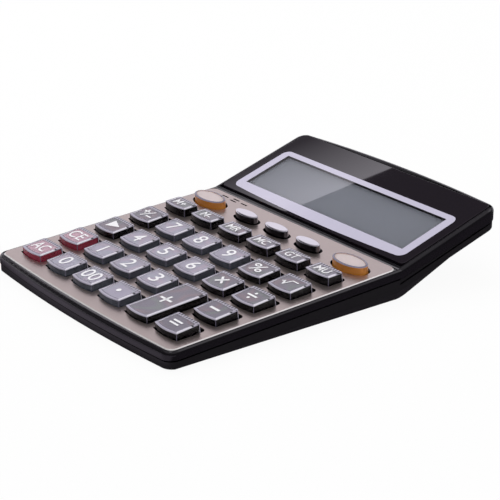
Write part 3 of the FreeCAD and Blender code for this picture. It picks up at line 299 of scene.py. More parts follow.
def seam_effect():
    """Group: a mask for painted shade along the seam between the two housings, a band wider than the real gap, under
    the keypad and under the head.
    """
    group = bpy.data.node_groups.new("seam_gap", "ShaderNodeTree")
    group.interface.new_socket("Mask", in_out="OUTPUT", socket_type="NodeSocketFloat")
    leave = group.nodes.new("NodeGroupOutput")
    place = group.nodes.new("ShaderNodeTexCoord")
    parts = place_node(group, "ShaderNodeSeparateXYZ")
    group.links.new(place.outputs["Object"], parts.inputs[0])
    masks = []
    for up, start, depth, side in SEAM_LINES:
        height = towards(group, place.outputs["Object"], up)
        away = calculate(group, "ABSOLUTE", calculate(group, "SUBTRACT", height, start.dot(up) - depth))
        masks.append(calculate(group, "MULTIPLY", calculate(group, "LESS_THAN", away, SEAM_HALF),
                               calculate(group, side, parts.outputs["Y"], BEND_Y)))
    group.links.new(calculate(group, "MAXIMUM", masks[0], masks[1]), leave.inputs["Mask"])
    return group


seam_gap = seam_effect()


def shade_seam(material):
    """Paints shade on a housing's wall at the seam: black base and full metallic there, so that it mirrors nothing.
    """
    tree = material.node_tree
    shader = tree.nodes["Principled BSDF"]
    mask = place_node(tree, "ShaderNodeGroup", node_tree=seam_gap).outputs["Mask"]
    wall = shader.inputs["Base Color"].links[0].from_socket
    tree.links.new(blend(tree, mask, wall, (0.0, 0.0, 0.0)), shader.inputs["Base Color"])
    tree.links.new(mask, shader.inputs["Metallic"])
    return mask


gloss_black = moulded("gloss_black", (0.003, 0.0022, 0.0038), (0.005, 0.0038, 0.006), 0.08, 0.15, 300.0, 0.04)
seam_shade_mask = shade_seam(gloss_black)
tree = gloss_black.node_tree
place = place_node(tree, "ShaderNodeTexCoord")
facing = place_node(tree, "ShaderNodeNewGeometry")
# Painted shade: the rim behind the lens, where it looks up, and the seam both go metallic black.
along = towards(tree, place.outputs["Object"], DISPLAY_ALONG)
upward = ramp(tree, towards(tree, facing.outputs["Normal"], DISPLAY_UP), 0.1, 0.5, 0.0, 1.0)
rim_painted_shade = calculate(tree, "MULTIPLY", ramp(tree, along, RIM_SHADE_START, RIM_SHADE_START + RIM_SHADE_FADE, 0.0, RIM_SHADE_SHARE), upward)
tree.links.new(calculate(tree, "MAXIMUM", rim_painted_shade, seam_shade_mask), tree.nodes["Principled BSDF"].inputs["Metallic"])
finish_node("upper_housing", gloss_black)


# Lower housing and battery door: black plastic with a fine spark-eroded grain.
# Screwed to the upper housing from below; the door slides out to the rear.
matt_black = moulded("matt_black", (0.006, 0.005, 0.0065), (0.010, 0.009, 0.011), 0.34, 0.48, 2600.0, 0.25)
# The lower housing's wall gets the same painted shade along the seam.
shade_seam(matt_black)
finish_node("lower_housing", matt_black)
finish_node("battery_door", matt_black)


# Faceplate: aluminium sheet, brushed across, tinted champagne, with a paler cut edge of bare metal, partly painted
# white as a highlight, and walls painted dark as shade.
# It lies in a seat of the upper housing; the keys come up through it.
PLATE_TINT = (0.48, 0.405, 0.375)
PLATE_PALE = (0.60, 0.52, 0.485)
PLATE_EDGE = (0.90, 0.87, 0.86)
PLATE_EDGE_ROUGH = 0.2
# A share of the cut edge is plain white, not metal: a painted highlight.
PLATE_EDGE_PAINTED_HIGHLIGHT = 0.7
# The plate's walls, at its sides and in its holes, are a near-black mirror: painted shade.
PLATE_WALL_PAINTED_SHADE = (0.05, 0.045, 0.045)
SCRATCH_STRETCH = (0.02, 1.0, 1.0)
SCRATCH_SCALE = 3000.0
SCRATCH_BUMP = 0.12


def brushing_effect():
    """Group: long fine scratches across X, as a mask and a bump height."""
    group = bpy.data.node_groups.new("brushing", "ShaderNodeTree")
    for name in ("Mask", "Height"):
        group.interface.new_socket(name, in_out="OUTPUT", socket_type="NodeSocketFloat")
    leave = group.nodes.new("NodeGroupOutput")
    place = group.nodes.new("ShaderNodeTexCoord")
    stretch = place_node(group, "ShaderNodeMapping")
    stretch.inputs["Scale"].default_value = SCRATCH_STRETCH
    group.links.new(place.outputs["Object"], stretch.inputs["Vector"])
    scratch = place_node(group, "ShaderNodeTexNoise")
    scratch.inputs["Scale"].default_value = SCRATCH_SCALE
    scratch.inputs["Detail"].default_value = 4.0
    scratch.inputs["Roughness"].default_value = 0.7
    group.links.new(stretch.outputs[0], scratch.inputs["Vector"])
    group.links.new(scratch.outputs["Fac"], leave.inputs["Mask"])
    group.links.new(scratch.outputs["Fac"], leave.inputs["Height"])
    return group


brushing = brushing_effect()


def brushed(name, dark, light, smooth, rough):
    """A brushed metal: two tints along the scratches and a roughness range, which it gives back as well."""
    material = bpy.data.materials.new(name)
    material.use_nodes = True
    tree = material.node_tree
    shader = tree.nodes["Principled BSDF"]
    shader.inputs["Metallic"].default_value = 1.0
    scratch = place_node(tree, "ShaderNodeGroup", node_tree=brushing)
    tint = blend(tree, scratch.outputs["Mask"], dark, light)
    spread = ramp(tree, scratch.outputs["Mask"], 0.0, 1.0, smooth, rough, False)
    rise = place_node(tree, "ShaderNodeBump")
    rise.inputs["Strength"].default_value = SCRATCH_BUMP
    rise.inputs["Distance"].default_value = BUMP_DEPTH
    tree.links.new(scratch.outputs["Height"], rise.inputs["Height"])
    tree.links.new(tint, shader.inputs["Base Color"])
    tree.links.new(spread, shader.inputs["Roughness"])
    tree.links.new(rise.outputs["Normal"], shader.inputs["Normal"])
    return material, tint, spread


champagne, plate_tint, plate_rough = brushed("champagne_plate", PLATE_TINT, PLATE_PALE, 0.24, 0.42)
tree = champagne.node_tree
shader = tree.nodes["Principled BSDF"]
facing = place_node(tree, "ShaderNodeNewGeometry")
level = towards(tree, facing.outputs["True Normal"], KEYPAD_UP)
wall = calculate(tree, "LESS_THAN", level, 0.3)
edge = calculate(tree, "SUBTRACT", calculate(tree, "LESS_THAN", level, 0.97), wall)
# The cut edge: paler bare metal and a painted highlight; the walls: painted shade.
edge_and_painted_highlight = blend(tree, edge, plate_tint, PLATE_EDGE)
tree.links.new(blend(tree, wall, edge_and_painted_highlight, PLATE_WALL_PAINTED_SHADE), shader.inputs["Base Color"])
polish = place_node(tree, "ShaderNodeMix", data_type="FLOAT")
polish.inputs["B"].default_value = PLATE_EDGE_ROUGH
tree.links.new(edge, polish.inputs["Factor"])
tree.links.new(plate_rough, polish.inputs["A"])
tree.links.new(polish.outputs["Result"], shader.inputs["Roughness"])
# Painted highlight: part of the cut edge turns white and non-metallic.
painted_edge_highlight = calculate(tree, "MULTIPLY", edge, PLATE_EDGE_PAINTED_HIGHLIGHT)
tree.links.new(calculate(tree, "SUBTRACT", 1.0, painted_edge_highlight), shader.inputs["Metallic"])
finish_node("faceplate", champagne)


# Keys: each is a coloured core with a flange under the deck and a printed legend on top.
# A clear cap is moulded round the core, so its rim and rear wall can be seen through. The cap's rim and edges are
# painted with highlights and shade, and the core's top is painted lighter than its walls.
KEYPAD = Matrix.Translation(KEYPAD_START) @ Matrix.Rotation(KEYPAD_TILT, 4, "X")
NEAR = 0.01 * MM
SLACK = 0.05 * MM
LOOKS_UP = 0.95
LEVEL = 0.99
COLUMN_PITCH = 22.7 * MM
ROW_PITCH = 20.57 * MM
FIRST_ROW = -112.0 * MM
SMALL_ROW = -30.9 * MM
OVAL_ROW = -14.5 * MM
KEY_WIDTH = 17.0 * MM
KEY_DEPTH = 14.4 * MM
KEY_SETBACK = 1.0 * MM
SMALL_DEPTH = 9.4 * MM
KEY_BOW = 1.2 * MM
BOW_CUTS = 7
KEY_RISE = 3.85 * MM
KEY_FRONT_RISE = 3.05 * MM
SMALL_RISE = 4.0 * MM
KEY_CORNER = 1.6 * MM
CORNER_REACH = 0.6 * MM
CAP_LOW = -2.25 * MM
FLANGE_TOP = -2.3 * MM
FLANGE_THICK = 0.8 * MM
FLANGE_REACH = 0.7 * MM
PLUNGER_LENGTH = 0.5 * MM
PLUNGER_INSET = 0.36
CAP_DRAFT = math.tan(math.radians(2.5))
CAP_WALL = 0.75 * MM
CAP_REAR_WALL = 1.2 * MM
CAP_ROOF = 0.7 * MM
CAP_ROUND = 0.4 * MM
CAP_FRONT_CORNER = 0.2 * MM
CORE_CORNER = 0.8 * MM
CORE_FRONT_CORNER = 0.3 * MM
CORE_ROUND = 0.2 * MM
CORE_DRAW_IN = (0.972, 0.985)
CORE_LIGHTER = 1.25
PAINTED_TINT_SCALE = 70.0
CLEAR_IOR = 1.49
RIM_WIDTH = 0.6 * MM
# COMB_STEPS and SIDE_STEP cut the rim so that painted dark and pale steps can stand on it: a comb along the rear,
# steps along the right side toward the rear.
COMB_STEPS = 14
COMB_SHARE = 0.97
SIDE_STEP = 1.3 * MM
LINE_WIDTH = 0.45 * MM
REAR_RIM = 0.6 * MM
REAR_SHADE = 4.8 * MM
INK_THICK = 0.02 * MM
LETTER_WEIGHT = 0.006
LETTER_DEPTH = 0.01
LEGEND_LIFT = 0.02 * MM
LEGEND_LEFT = 0.4 * MM
LEGEND_FORWARD = 0.5 * MM


def select_in(piece, kind, wanted):
    """Selects the vertices, edges or faces of a piece that wanted picks by place and direction."""
    bpy.ops.object.mode_set(mode="OBJECT")
    bpy.context.tool_settings.mesh_select_mode = (kind == "VERT", kind == "EDGE", kind == "FACE")
    mesh = piece.data
    for group in (mesh.vertices, mesh.edges, mesh.polygons):
        group.foreach_set("select", [False] * len(group))
    if kind == "VERT":
        for vertex in mesh.vertices:
            vertex.select = wanted(vertex.co)
    elif kind == "EDGE":
        for edge in mesh.edges:
            ends = [mesh.vertices[index].co for index in edge.vertices]
            edge.select = wanted((ends[0] + ends[1]) / 2, (ends[1] - ends[0]).normalized())
    else:
        for face in mesh.polygons:
            face.select = wanted(face.center, face.normal)
    bpy.ops.object.mode_set(mode="EDIT")


def alone(piece):
    """Makes a piece the only one selected, and the active one."""
    if bpy.context.object and bpy.context.object.mode != "OBJECT":
        bpy.ops.object.mode_set(mode="OBJECT")
    bpy.ops.object.select_all(action="DESELECT")
    piece.select_set(True)
    bpy.context.view_layer.objects.active = piece


def block(name, width, front, rear, low, high):
    """A block to start from, with its place in its mesh."""
    bpy.ops.object.select_all(action="DESELECT")
    bpy.ops.mesh.primitive_cube_add(size=1.0, location=(0.0, (front + rear) / 2, (low + high) / 2))
    piece = bpy.context.object
    piece.name = name
    piece.scale = (width, rear - front, high - low)
    bpy.ops.object.transform_apply(location=True, rotation=True, scale=True)
    return piece


def bow_front(piece, width, front, bow):
    """Cuts the front face into strips and draws them out in an arc."""
    select_in(piece, "EDGE", lambda at, way: abs(way.x) > 0.9 and abs(at.y - front) < NEAR)
    bpy.ops.mesh.subdivide(number_cuts=BOW_CUTS)
    bpy.ops.object.mode_set(mode="OBJECT")
    columns = sorted({round(vertex.co.x / NEAR) for vertex in piece.data.vertices
                      if abs(vertex.co.y - front) < NEAR})
    for column in columns[1:-1]:
        reach = bow * (1.0 - (2.0 * column * NEAR / width) ** 2)
        select_in(piece, "VERT", lambda at, c=column: abs(at.x - c * NEAR) < NEAR and abs(at.y - front) < NEAR)
        bpy.ops.transform.translate(value=(0.0, -reach, 0.0))
    bpy.ops.object.mode_set(mode="OBJECT")


def draw_in_top(piece, high, across, along):
    """Draws the top in, so that the walls lean."""
    select_in(piece, "VERT", lambda at: abs(at.z - high) < NEAR)
    bpy.ops.transform.resize(value=(across, along, 1.0), center_override=(0.0, 0.0, high))
    bpy.ops.object.mode_set(mode="OBJECT")


def tip_top(piece, front, rear, front_rise, rear_rise):
    """Tips a level top down towards the user, about its rear edge."""
    if rear_rise - front_rise < NEAR:
        return
    select_in(piece, "VERT", lambda at: abs(at.z - rear_rise) < NEAR)
    bpy.ops.object.mode_set(mode="OBJECT")
    steep = (rear_rise - front_rise) / (rear - front)
    for vertex in piece.data.vertices:
        if vertex.select:
            vertex.co.z += (vertex.co.y - rear) * steep


def round_top(piece, offset, segments):
    """Rounds the edges of the top."""
    select_in(piece, "FACE", lambda at, normal: normal.z > LOOKS_UP)
    bpy.ops.mesh.region_to_loop()
    bpy.ops.mesh.bevel(offset=offset, segments=segments, profile=0.5, affect="EDGES")
    bpy.ops.object.mode_set(mode="OBJECT")


def round_corners(piece, offset, segments, width, where):
    """Rounds the upright edges at the corners that where picks by their place along the key."""
    outer = width / 2 - CORNER_REACH
    select_in(piece, "EDGE", lambda at, way: abs(way.z) > 0.9 and abs(at.x) > outer and where(at.y))
    bpy.ops.mesh.bevel(offset=offset, segments=segments, profile=0.5, affect="EDGES")
    bpy.ops.object.mode_set(mode="OBJECT")


def smooth(piece, degrees=30.0):
    """Smooth shading whose large faces stay flat."""
    alone(piece)
    bpy.ops.object.shade_smooth_by_angle(angle=math.radians(degrees))
    piece.modifiers.new("flat_faces", "WEIGHTED_NORMAL").keep_sharp = True
    bpy.ops.object.modifier_apply(modifier="flat_faces")


def add_flange(piece, width, depth):
    """Draws the core's underside out into the flange and the plunger."""
    select_in(piece, "FACE", lambda at, normal: normal.z < -0.9)
    bpy.ops.mesh.extrude_region_move(TRANSFORM_OT_translate={"value": (0.0, 0.0, 0.0)})
    reach = 2.0 * (FLANGE_REACH + CAP_WALL)
    wider = (1.0 + reach / width, 1.0 + reach / depth, 1.0)
    bpy.ops.transform.resize(value=wider, center_override=(0.0, 0.0, FLANGE_TOP))
    bpy.ops.mesh.extrude_region_move(TRANSFORM_OT_translate={"value": (0.0, 0.0, -FLANGE_THICK)})
    bpy.ops.mesh.inset(thickness=min(width, depth) * PLUNGER_INSET)
    bpy.ops.mesh.extrude_region_move(TRANSFORM_OT_translate={"value": (0.0, 0.0, -PLUNGER_LENGTH)})
    bpy.ops.object.mode_set(mode="OBJECT")


def joined(bars):
    """Makes one piece of several."""
    bpy.ops.object.select_all(action="DESELECT")
    for bar in bars:
        bar.select_set(True)
    bpy.context.view_layer.objects.active = bars[0]
    if len(bars) > 1:
        bpy.ops.object.join()
    return bars[0]


def roof_of(piece):
    """The largest face of a piece that looks up."""
    return max(piece.data.polygons, key=lambda face: face.area if face.normal.z > LOOKS_UP else 0.0)


def part_edges(cap, name, finish_of, with_corners=True):
    """Takes the rim and the edges off a clear cap as a piece of their own, painted with the highlights and shade that
    the clear plastic shows there.
    """
    roof_centre = roof_of(cap).center.copy()

    def on_edge(at, normal):
        """Whether a face is on the rim of the top or at an upright corner."""
        if normal.z > 0.15:
            return (at - roof_centre).length > SLACK
        return with_corners and abs(normal.z) < 0.15 and abs(normal.x) > 0.3 and abs(normal.y) > 0.3

    alone(cap)
    select_in(cap, "FACE", on_edge)
    bpy.ops.mesh.separate(type="SELECTED")
    bpy.ops.object.mode_set(mode="OBJECT")
    edges = [piece for piece in bpy.context.selected_objects if piece is not cap][0]
    edges.name = name
    finishes = []
    for face in edges.data.polygons:
        finish = finish_of(face.center, face.normal)
        if finish not in finishes:
            finishes.append(finish)
            edges.data.materials.append(finish)
        face.material_index = finishes.index(finish)
    alone(edges)
    bpy.ops.object.shade_smooth_by_angle(angle=math.radians(35.0))
    return edges


def clear_cap(name, front, rear, front_rise, rear_rise):
    """The clear cap of a straight-sided key and its rim, modelled round the key's own centre."""
    cap = block(name, KEY_WIDTH, front, rear, CAP_LOW, rear_rise)
    round_corners(cap, KEY_CORNER, 5, KEY_WIDTH, lambda y: y > (front + rear) / 2)
    bow_front(cap, KEY_WIDTH, front, KEY_BOW)
    select_in(cap, "EDGE", lambda at, way: abs(way.x) > 0.9 and abs(at.y - rear) < NEAR)
    bpy.ops.mesh.subdivide(number_cuts=COMB_STEPS)
    for side in (-1.0, 1.0):
        select_in(cap, "EDGE", lambda at, way: abs(way.y) > 0.9 and at.x * side > KEY_WIDTH / 2 - NEAR)
        bpy.ops.mesh.subdivide(number_cuts=round((rear - front) / SIDE_STEP))
    bpy.ops.object.mode_set(mode="OBJECT")
    lean = (rear_rise - CAP_LOW) * CAP_DRAFT
    draw_in_top(cap, rear_rise, 1.0 - 2.0 * lean / KEY_WIDTH, 1.0 - 2.0 * lean / (rear - front))
    tip_top(cap, front, rear, front_rise, rear_rise)
    round_top(cap, CAP_ROUND, 3)
    select_in(cap, "FACE", lambda at, normal: normal.z > LEVEL)
    bpy.ops.mesh.inset(thickness=RIM_WIDTH)
    bpy.ops.object.mode_set(mode="OBJECT")
    on_roof = [cap.data.vertices[index].co.copy() for index in roof_of(cap).vertices]
    back = max(spot.y for spot in on_roof)
    select_in(cap, "VERT", lambda at: at.y > back - REAR_RIM and any((at - spot).length < NEAR for spot in on_roof))
    bpy.ops.transform.translate(value=(0.0, -REAR_RIM, -REAR_RIM * (rear_rise - front_rise) / (rear - front)))
    bpy.ops.object.mode_set(mode="OBJECT")
    roof_centre = roof_of(cap).center.copy()
    select_in(cap, "FACE", lambda at, normal: (at - roof_centre).length < NEAR)
    bpy.ops.mesh.inset(thickness=LINE_WIDTH)
    bpy.ops.object.mode_set(mode="OBJECT")
    round_corners(cap, CAP_FRONT_CORNER, 1, KEY_WIDTH, lambda y: y < (front + rear) / 2)
    comb = COMB_SHARE * (KEY_WIDTH - 2.0 * KEY_CORNER) / (COMB_STEPS + 1)
    line_in = lean + CAP_ROUND + RIM_WIDTH - SLACK

    def finish_of(at, normal):
        """The painted light of a rim face, by its distance in from the sides, the rear and the front: painted glints,
        painted light, painted shade, and painted combs of dark teeth.
        """
        side_in = KEY_WIDTH / 2 - abs(at.x)
        rear_in = rear - at.y
        front_in = at.y - front + KEY_BOW * (1.0 - (2.0 * at.x / KEY_WIDTH) ** 2)
        if normal.z < 0.15:
            return edge_painted_shade if at.y < 0.0 else edge_painted_light
        if rear_in - REAR_RIM < min(side_in, front_in):
            toothed = normal.z > 0.55 and rear_in < line_in + REAR_RIM and side_in > KEY_CORNER
            return edge_painted_dark if toothed and math.floor(at.x / comb + 100.5) % 2 else edge_painted_light
        if front_in < side_in:
            return edge_painted_shade if front_in > line_in else edge_painted_light
        if at.x < 0.0:
            return edge_painted_glint if side_in > line_in else edge_painted_shade
        if rear_in > REAR_SHADE:
            return edge_painted_light if side_in > line_in else edge_painted_glint
        return edge_painted_dark if normal.z > 0.55 and math.floor(at.y / SIDE_STEP + 100.0) % 2 else edge_painted_light

    edges = part_edges(cap, name + "_edges", finish_of)
    smooth(cap)
    return cap, edges


def key_core(name, front, rear, front_rise, rear_rise):
    """The coloured core of a straight-sided key."""
    width = KEY_WIDTH - 2.0 * CAP_WALL
    core_front = front + CAP_WALL
    core_rear = rear - CAP_REAR_WALL
    steep = (rear_rise - front_rise) / (rear - front)
    high = rear_rise - CAP_ROOF - CAP_REAR_WALL * steep
    core = block(name, width, core_front, core_rear, FLANGE_TOP, high)
    bow_front(core, width, core_front, KEY_BOW)
    draw_in_top(core, high, *CORE_DRAW_IN)
    tip_top(core, core_front, core_rear, high - steep * (core_rear - core_front), high)
    round_corners(core, CORE_CORNER, 4, width, lambda y: y > (front + rear) / 2)
    round_corners(core, CORE_FRONT_CORNER, 3, width, lambda y: y < (front + rear) / 2)
    round_top(core, CORE_ROUND, 2)
    add_flange(core, width, core_rear - core_front)
    smooth(core)
    return core


def coloured_core(name, side, top, painted_blush, painted_sheen):
    """A core's colour: deep colour on the walls and a painted lighter top for the light the clear cap gathers and
    mirrors there, with faint pink and green painted tints for the cap's iridescent reflection.
    """
    lighter = tuple(min(1.0, part * CORE_LIGHTER) for part in side)
    material = moulded(name, side, lighter, 0.16, 0.30, 1400.0, 0.05)
    tree = material.node_tree
    shader = tree.nodes["Principled BSDF"]
    wall = shader.inputs["Base Color"].links[0].from_socket
    facing = place_node(tree, "ShaderNodeNewGeometry")
    # Faces that look up get the painted lighter top.
    upper = calculate(tree, "GREATER_THAN", towards(tree, facing.outputs["True Normal"], KEYPAD_UP), 0.9)
    place = place_node(tree, "ShaderNodeTexCoord")
    cloud = place_node(tree, "ShaderNodeTexNoise")
    cloud.inputs["Scale"].default_value = PAINTED_TINT_SCALE
    cloud.inputs["Detail"].default_value = 0.0
    tree.links.new(place.outputs["Object"], cloud.inputs["Vector"])
    roof = place_node(tree, "ShaderNodeValToRGB")
    tints = roof.color_ramp.elements
    for end, spot in zip(tints, (0.36, 0.66)):
        end.position = spot
        end.color = (*top, 1.0)
    for spot, tint in ((0.44, painted_blush), (0.51, top), (0.57, painted_sheen)):
        tints.new(spot).color = (*tint, 1.0)
    tree.links.new(cloud.outputs["Fac"], roof.inputs["Fac"])
    tree.links.new(blend(tree, upper, wall, roof.outputs["Color"]), shader.inputs["Base Color"])
    return material


def clear_plastic(name, tint, smooth_part, rough_part, bump=0.02):
    """A clear plastic with faint handling marks in its polish."""
    material = moulded(name, tint, tint, smooth_part, rough_part, 1200.0, bump)
    shader = material.node_tree.nodes["Principled BSDF"]
    shader.inputs["Transmission Weight"].default_value = 1.0
    shader.inputs["IOR"].default_value = CLEAR_IOR
    return material


# Painted light for the caps' rims and edges: a painted glint, painted light, painted shade and painted dark.
edge_painted_glint = moulded("edge_painted_glint", (0.70, 0.67, 0.76), (0.80, 0.77, 0.85), 0.15, 0.3, 2000.0, 0.05)
edge_painted_light = moulded("edge_painted_light", (0.37, 0.345, 0.43), (0.45, 0.42, 0.51), 0.15, 0.3, 2000.0, 0.05)
edge_painted_shade = moulded("edge_painted_shade", (0.15, 0.135, 0.19), (0.20, 0.18, 0.25), 0.15, 0.3, 2000.0, 0.05)
edge_painted_dark = moulded("edge_painted_dark", (0.012, 0.010, 0.018), (0.022, 0.018, 0.03), 0.3, 0.45, 2000.0, 0.05)
cap_clear = clear_plastic("cap_clear", (0.995, 0.99, 1.0), 0.02, 0.06)
# Each core: its wall colour, its painted lighter top, and the painted pink and green tints.
slate = coloured_core("slate_core", (0.115, 0.125, 0.155), (0.61, 0.565, 0.72),
                      painted_blush=(0.69, 0.58, 0.72), painted_sheen=(0.59, 0.595, 0.72))
black = coloured_core("black_core", (0.006, 0.005, 0.006), (0.27, 0.24, 0.32),
                      painted_blush=(0.36, 0.25, 0.31), painted_sheen=(0.28, 0.30, 0.315))
red = coloured_core("red_core", (0.46, 0.055, 0.10), (0.84, 0.51, 0.64),
                    painted_blush=(0.89, 0.58, 0.69), painted_sheen=(0.83, 0.54, 0.65))
orange = coloured_core("orange_core", (1.0, 0.35, 0.07), (0.98, 0.84, 0.82),
                       painted_blush=(0.99, 0.85, 0.83), painted_sheen=(0.97, 0.83, 0.79))
legend_white = moulded("legend_white", (0.88, 0.87, 0.90), (0.93, 0.92, 0.95), 0.30, 0.42, 3000.0, 0.05)


def copy_to(master, name, place):
    """A copy of a master shape with its own mesh, set in its place."""
    copy = bpy.data.objects.new(name, master.data.copy())
    bpy.context.scene.collection.objects.link(copy)
    copy.data.transform(place)
    copy.data.update()
    return copy


def paint(piece, material):
    """Gives a piece one finish."""
    piece.data.materials.clear()
    piece.data.materials.append(material)


def stroke(points, thick):
    """One bar of a drawn sign, between two points in millimetres."""
    (x0, y0), (x1, y1) = points
    length = math.hypot(x1 - x0, y1 - y0) + thick
    bpy.ops.object.select_all(action="DESELECT")
    bpy.ops.mesh.primitive_cube_add(size=1.0, location=((x0 + x1) / 2 * MM, (y0 + y1) / 2 * MM, 0.0),
                                    rotation=(0.0, 0.0, math.atan2(y1 - y0, x1 - x0)))
    bar = bpy.context.object
    bar.scale = (length * MM, thick * MM, INK_THICK)
    bpy.ops.object.transform_apply(location=True, rotation=True, scale=True)
    return bar


def dot(x, y, radius, corners=24, turned=0.0, flat=1.0):
    """A round dot of a drawn sign, or with few corners a triangle."""
    bpy.ops.object.select_all(action="DESELECT")
    bpy.ops.mesh.primitive_cylinder_add(vertices=corners, radius=radius * MM, depth=INK_THICK,
                                        location=(0.0, 0.0, 0.0), rotation=(0.0, 0.0, turned))
    disc = bpy.context.object
    bpy.ops.object.transform_apply(location=True, rotation=True, scale=True)
    disc.scale = (1.0, flat, 1.0)
    disc.location = (x * MM, y * MM, 0.0)
    bpy.ops.object.transform_apply(location=True, rotation=True, scale=True)
    return disc


def lettering(text, height, width=None):
    """Printed letters of a given height and width, centred, as a thin mesh."""
    bpy.ops.object.select_all(action="DESELECT")
    bpy.ops.object.text_add(location=(0.0, 0.0, 0.0))
    letters = bpy.context.object
    letters.data.body = text
    letters.data.extrude = LETTER_DEPTH
    letters.data.offset = LETTER_WEIGHT
    bpy.ops.object.convert(target="MESH")
    letters = bpy.context.object
    low = Vector([min(vertex.co[axis] for vertex in letters.data.vertices) for axis in range(3)])
    high = Vector([max(vertex.co[axis] for vertex in letters.data.vertices) for axis in range(3)])
    tall = height * MM / (high.y - low.y)
    wide = width * MM / (high.x - low.x) if width else tall
    letters.data.transform(Matrix.Translation(-(low + high) / 2))
    letters.data.transform(Matrix.Diagonal((wide, tall, INK_THICK / (high.z - low.z), 1.0)))
    return letters


def plus_sign(across, along, thick, x=0.0, y=0.0):
    """The two bars of a plus."""
    return [stroke(((x - across, y), (x + across, y)), thick), stroke(((x, y - along), (x, y + along)), thick)]


SIGNS = {
    "key_plus": lambda: joined(plus_sign(3.5, 2.85, 1.3)),
    "key_minus": lambda: stroke(((-2.6, 0.0), (2.6, 0.0)), 1.4),
    "key_times": lambda: joined([stroke(((-2.0, -2.0), (2.0, 2.0)), 1.2),
                                 stroke(((-2.0, 2.0), (2.0, -2.0)), 1.2)]),
    "key_divide": lambda: joined([stroke(((-2.65, 0.0), (2.65, 0.0)), 1.2),
                                  dot(0.0, 2.35, 0.8), dot(0.0, -2.35, 0.8)]),
    "key_equals": lambda: joined([stroke(((-2.6, 1.15), (2.6, 1.15)), 1.1),
                                  stroke(((-2.6, -1.15), (2.6, -1.15)), 1.1)]),
    "key_root": lambda: joined([stroke(((-3.9, -0.3), (-2.9, 0.3)), 0.7), stroke(((-2.9, 0.3), (-1.6, -2.3)), 1.0),
                                stroke(((-1.6, -2.3), (0.2, 2.3)), 0.7), stroke(((0.2, 2.3), (3.9, 2.3)), 0.7)]),
    "key_sign": lambda: joined(plus_sign(1.7, 1.5, 0.95, -2.7, 1.5)
                               + [stroke(((-2.2, -3.0), (2.2, 3.0)), 0.8),
                                  stroke(((1.3, -2.0), (4.6, -2.0)), 0.95)]),
    "key_arrow": lambda: dot(0.0, 0.0, 5.2, 3, -math.pi / 2, 0.74),
    "key_point": lambda: dot(0.0, 0.0, 1.3),
}
LETTERS = {"key_all_clear": ("AC", 6.6, 10.7), "key_clear_entry": ("CE", 6.6, 10.7), "key_00": ("00", 7.6, 11.0),
           "key_percent": ("%", 6.7, 8.3), "key_1": ("1", 7.6)}
for number in (0, 2, 3, 4, 5, 6, 7, 8, 9):
    LETTERS["key_%d" % number] = (str(number), 7.6, 5.4)
for number, text in enumerate(("M+", "M-", "MR", "MC", "GT", "MU"), start=1):
    LETTERS["key_function_%d" % number] = (text, 4.6)


def column_x(column):
    """Where a column of keys stands, counted from the left."""
    return (column - 2.5) * COLUMN_PITCH


def row_y(row):
    """Where a row of keys stands, counted from the front."""
    return FIRST_ROW + row * ROW_PITCH


SLATE_KEYS = [("key_0", 1, 0), ("key_00", 2, 0), ("key_point", 3, 0)]
SLATE_KEYS += [("key_%d" % (1 + 3 * (row - 1) + step), 1 + step, row) for row in (1, 2, 3) for step in range(3)]
RED_KEYS = [("key_all_clear", 0, 0), ("key_clear_entry", 0, 1)]
BLACK_KEYS = [("key_plus", 4, 0.5), ("key_equals", 5, 0), ("key_minus", 5, 1), ("key_arrow", 0, 2),
              ("key_times", 4, 2), ("key_divide", 5, 2), ("key_sign", 0, 3), ("key_percent", 4, 3),
              ("key_root", 5, 3)]
TALL_DEPTH = KEY_DEPTH + ROW_PITCH

masters = {}
for size, front, rear, front_rise, rear_rise in (
        ("main", -KEY_DEPTH / 2, KEY_DEPTH / 2 - KEY_SETBACK, KEY_FRONT_RISE, KEY_RISE),
        ("tall", -TALL_DEPTH / 2, TALL_DEPTH / 2 - KEY_SETBACK, KEY_FRONT_RISE, KEY_RISE),
        ("small", -SMALL_DEPTH / 2, SMALL_DEPTH / 2, SMALL_RISE, SMALL_RISE)):
    masters[size] = (*clear_cap(size + "_cap", front, rear, front_rise, rear_rise),
                     key_core(size + "_core", front, rear, front_rise, rear_rise), front, rear, front_rise, rear_rise)


def fit_key(key, size, x, y, core_finish):
    """Cap, core and legend of one key, set in the keypad and riding on that key's body."""
    cap_master, edge_master, core_master, front, rear, front_rise, rear_rise = masters[size]
    place = KEYPAD @ Matrix.Translation((x, y, 0.0))
    for master, part, finish in ((cap_master, "_cap", cap_clear), (edge_master, "_edges", None),
                                 (core_master, "_core", core_finish)):
        piece = copy_to(master, key + part, place)
        if finish:
            paint(piece, finish)
        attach(piece, key)
        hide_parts(key)
    if key in SIGNS:
        mark = SIGNS[key]()
    elif key in LETTERS:
        mark = lettering(*LETTERS[key])
    else:
        return
    mark.name = key + "_legend"
    slope = Matrix.Rotation(math.atan2(rear_rise - front_rise, rear - front), 4, "X")
    middle = Matrix.Translation((-LEGEND_LEFT, (front + rear) / 2 - LEGEND_FORWARD,
                                 (front_rise + rear_rise) / 2 + LEGEND_LIFT))
    mark.data.transform(place @ (middle @ slope))
    paint(mark, legend_white)
    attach(mark, key)


for key, column, row in SLATE_KEYS:
    fit_key(key, "main", column_x(column), row_y(row), slate)
for key, column, row in RED_KEYS:
    fit_key(key, "main", column_x(column), row_y(row), red)
for key, column, row in BLACK_KEYS:
    fit_key(key, "tall" if key == "key_plus" else "main", column_x(column), row_y(row), black)
for column in range(6):
    fit_key("key_function_%d" % (column + 1), "small", column_x(column), SMALL_ROW, black)


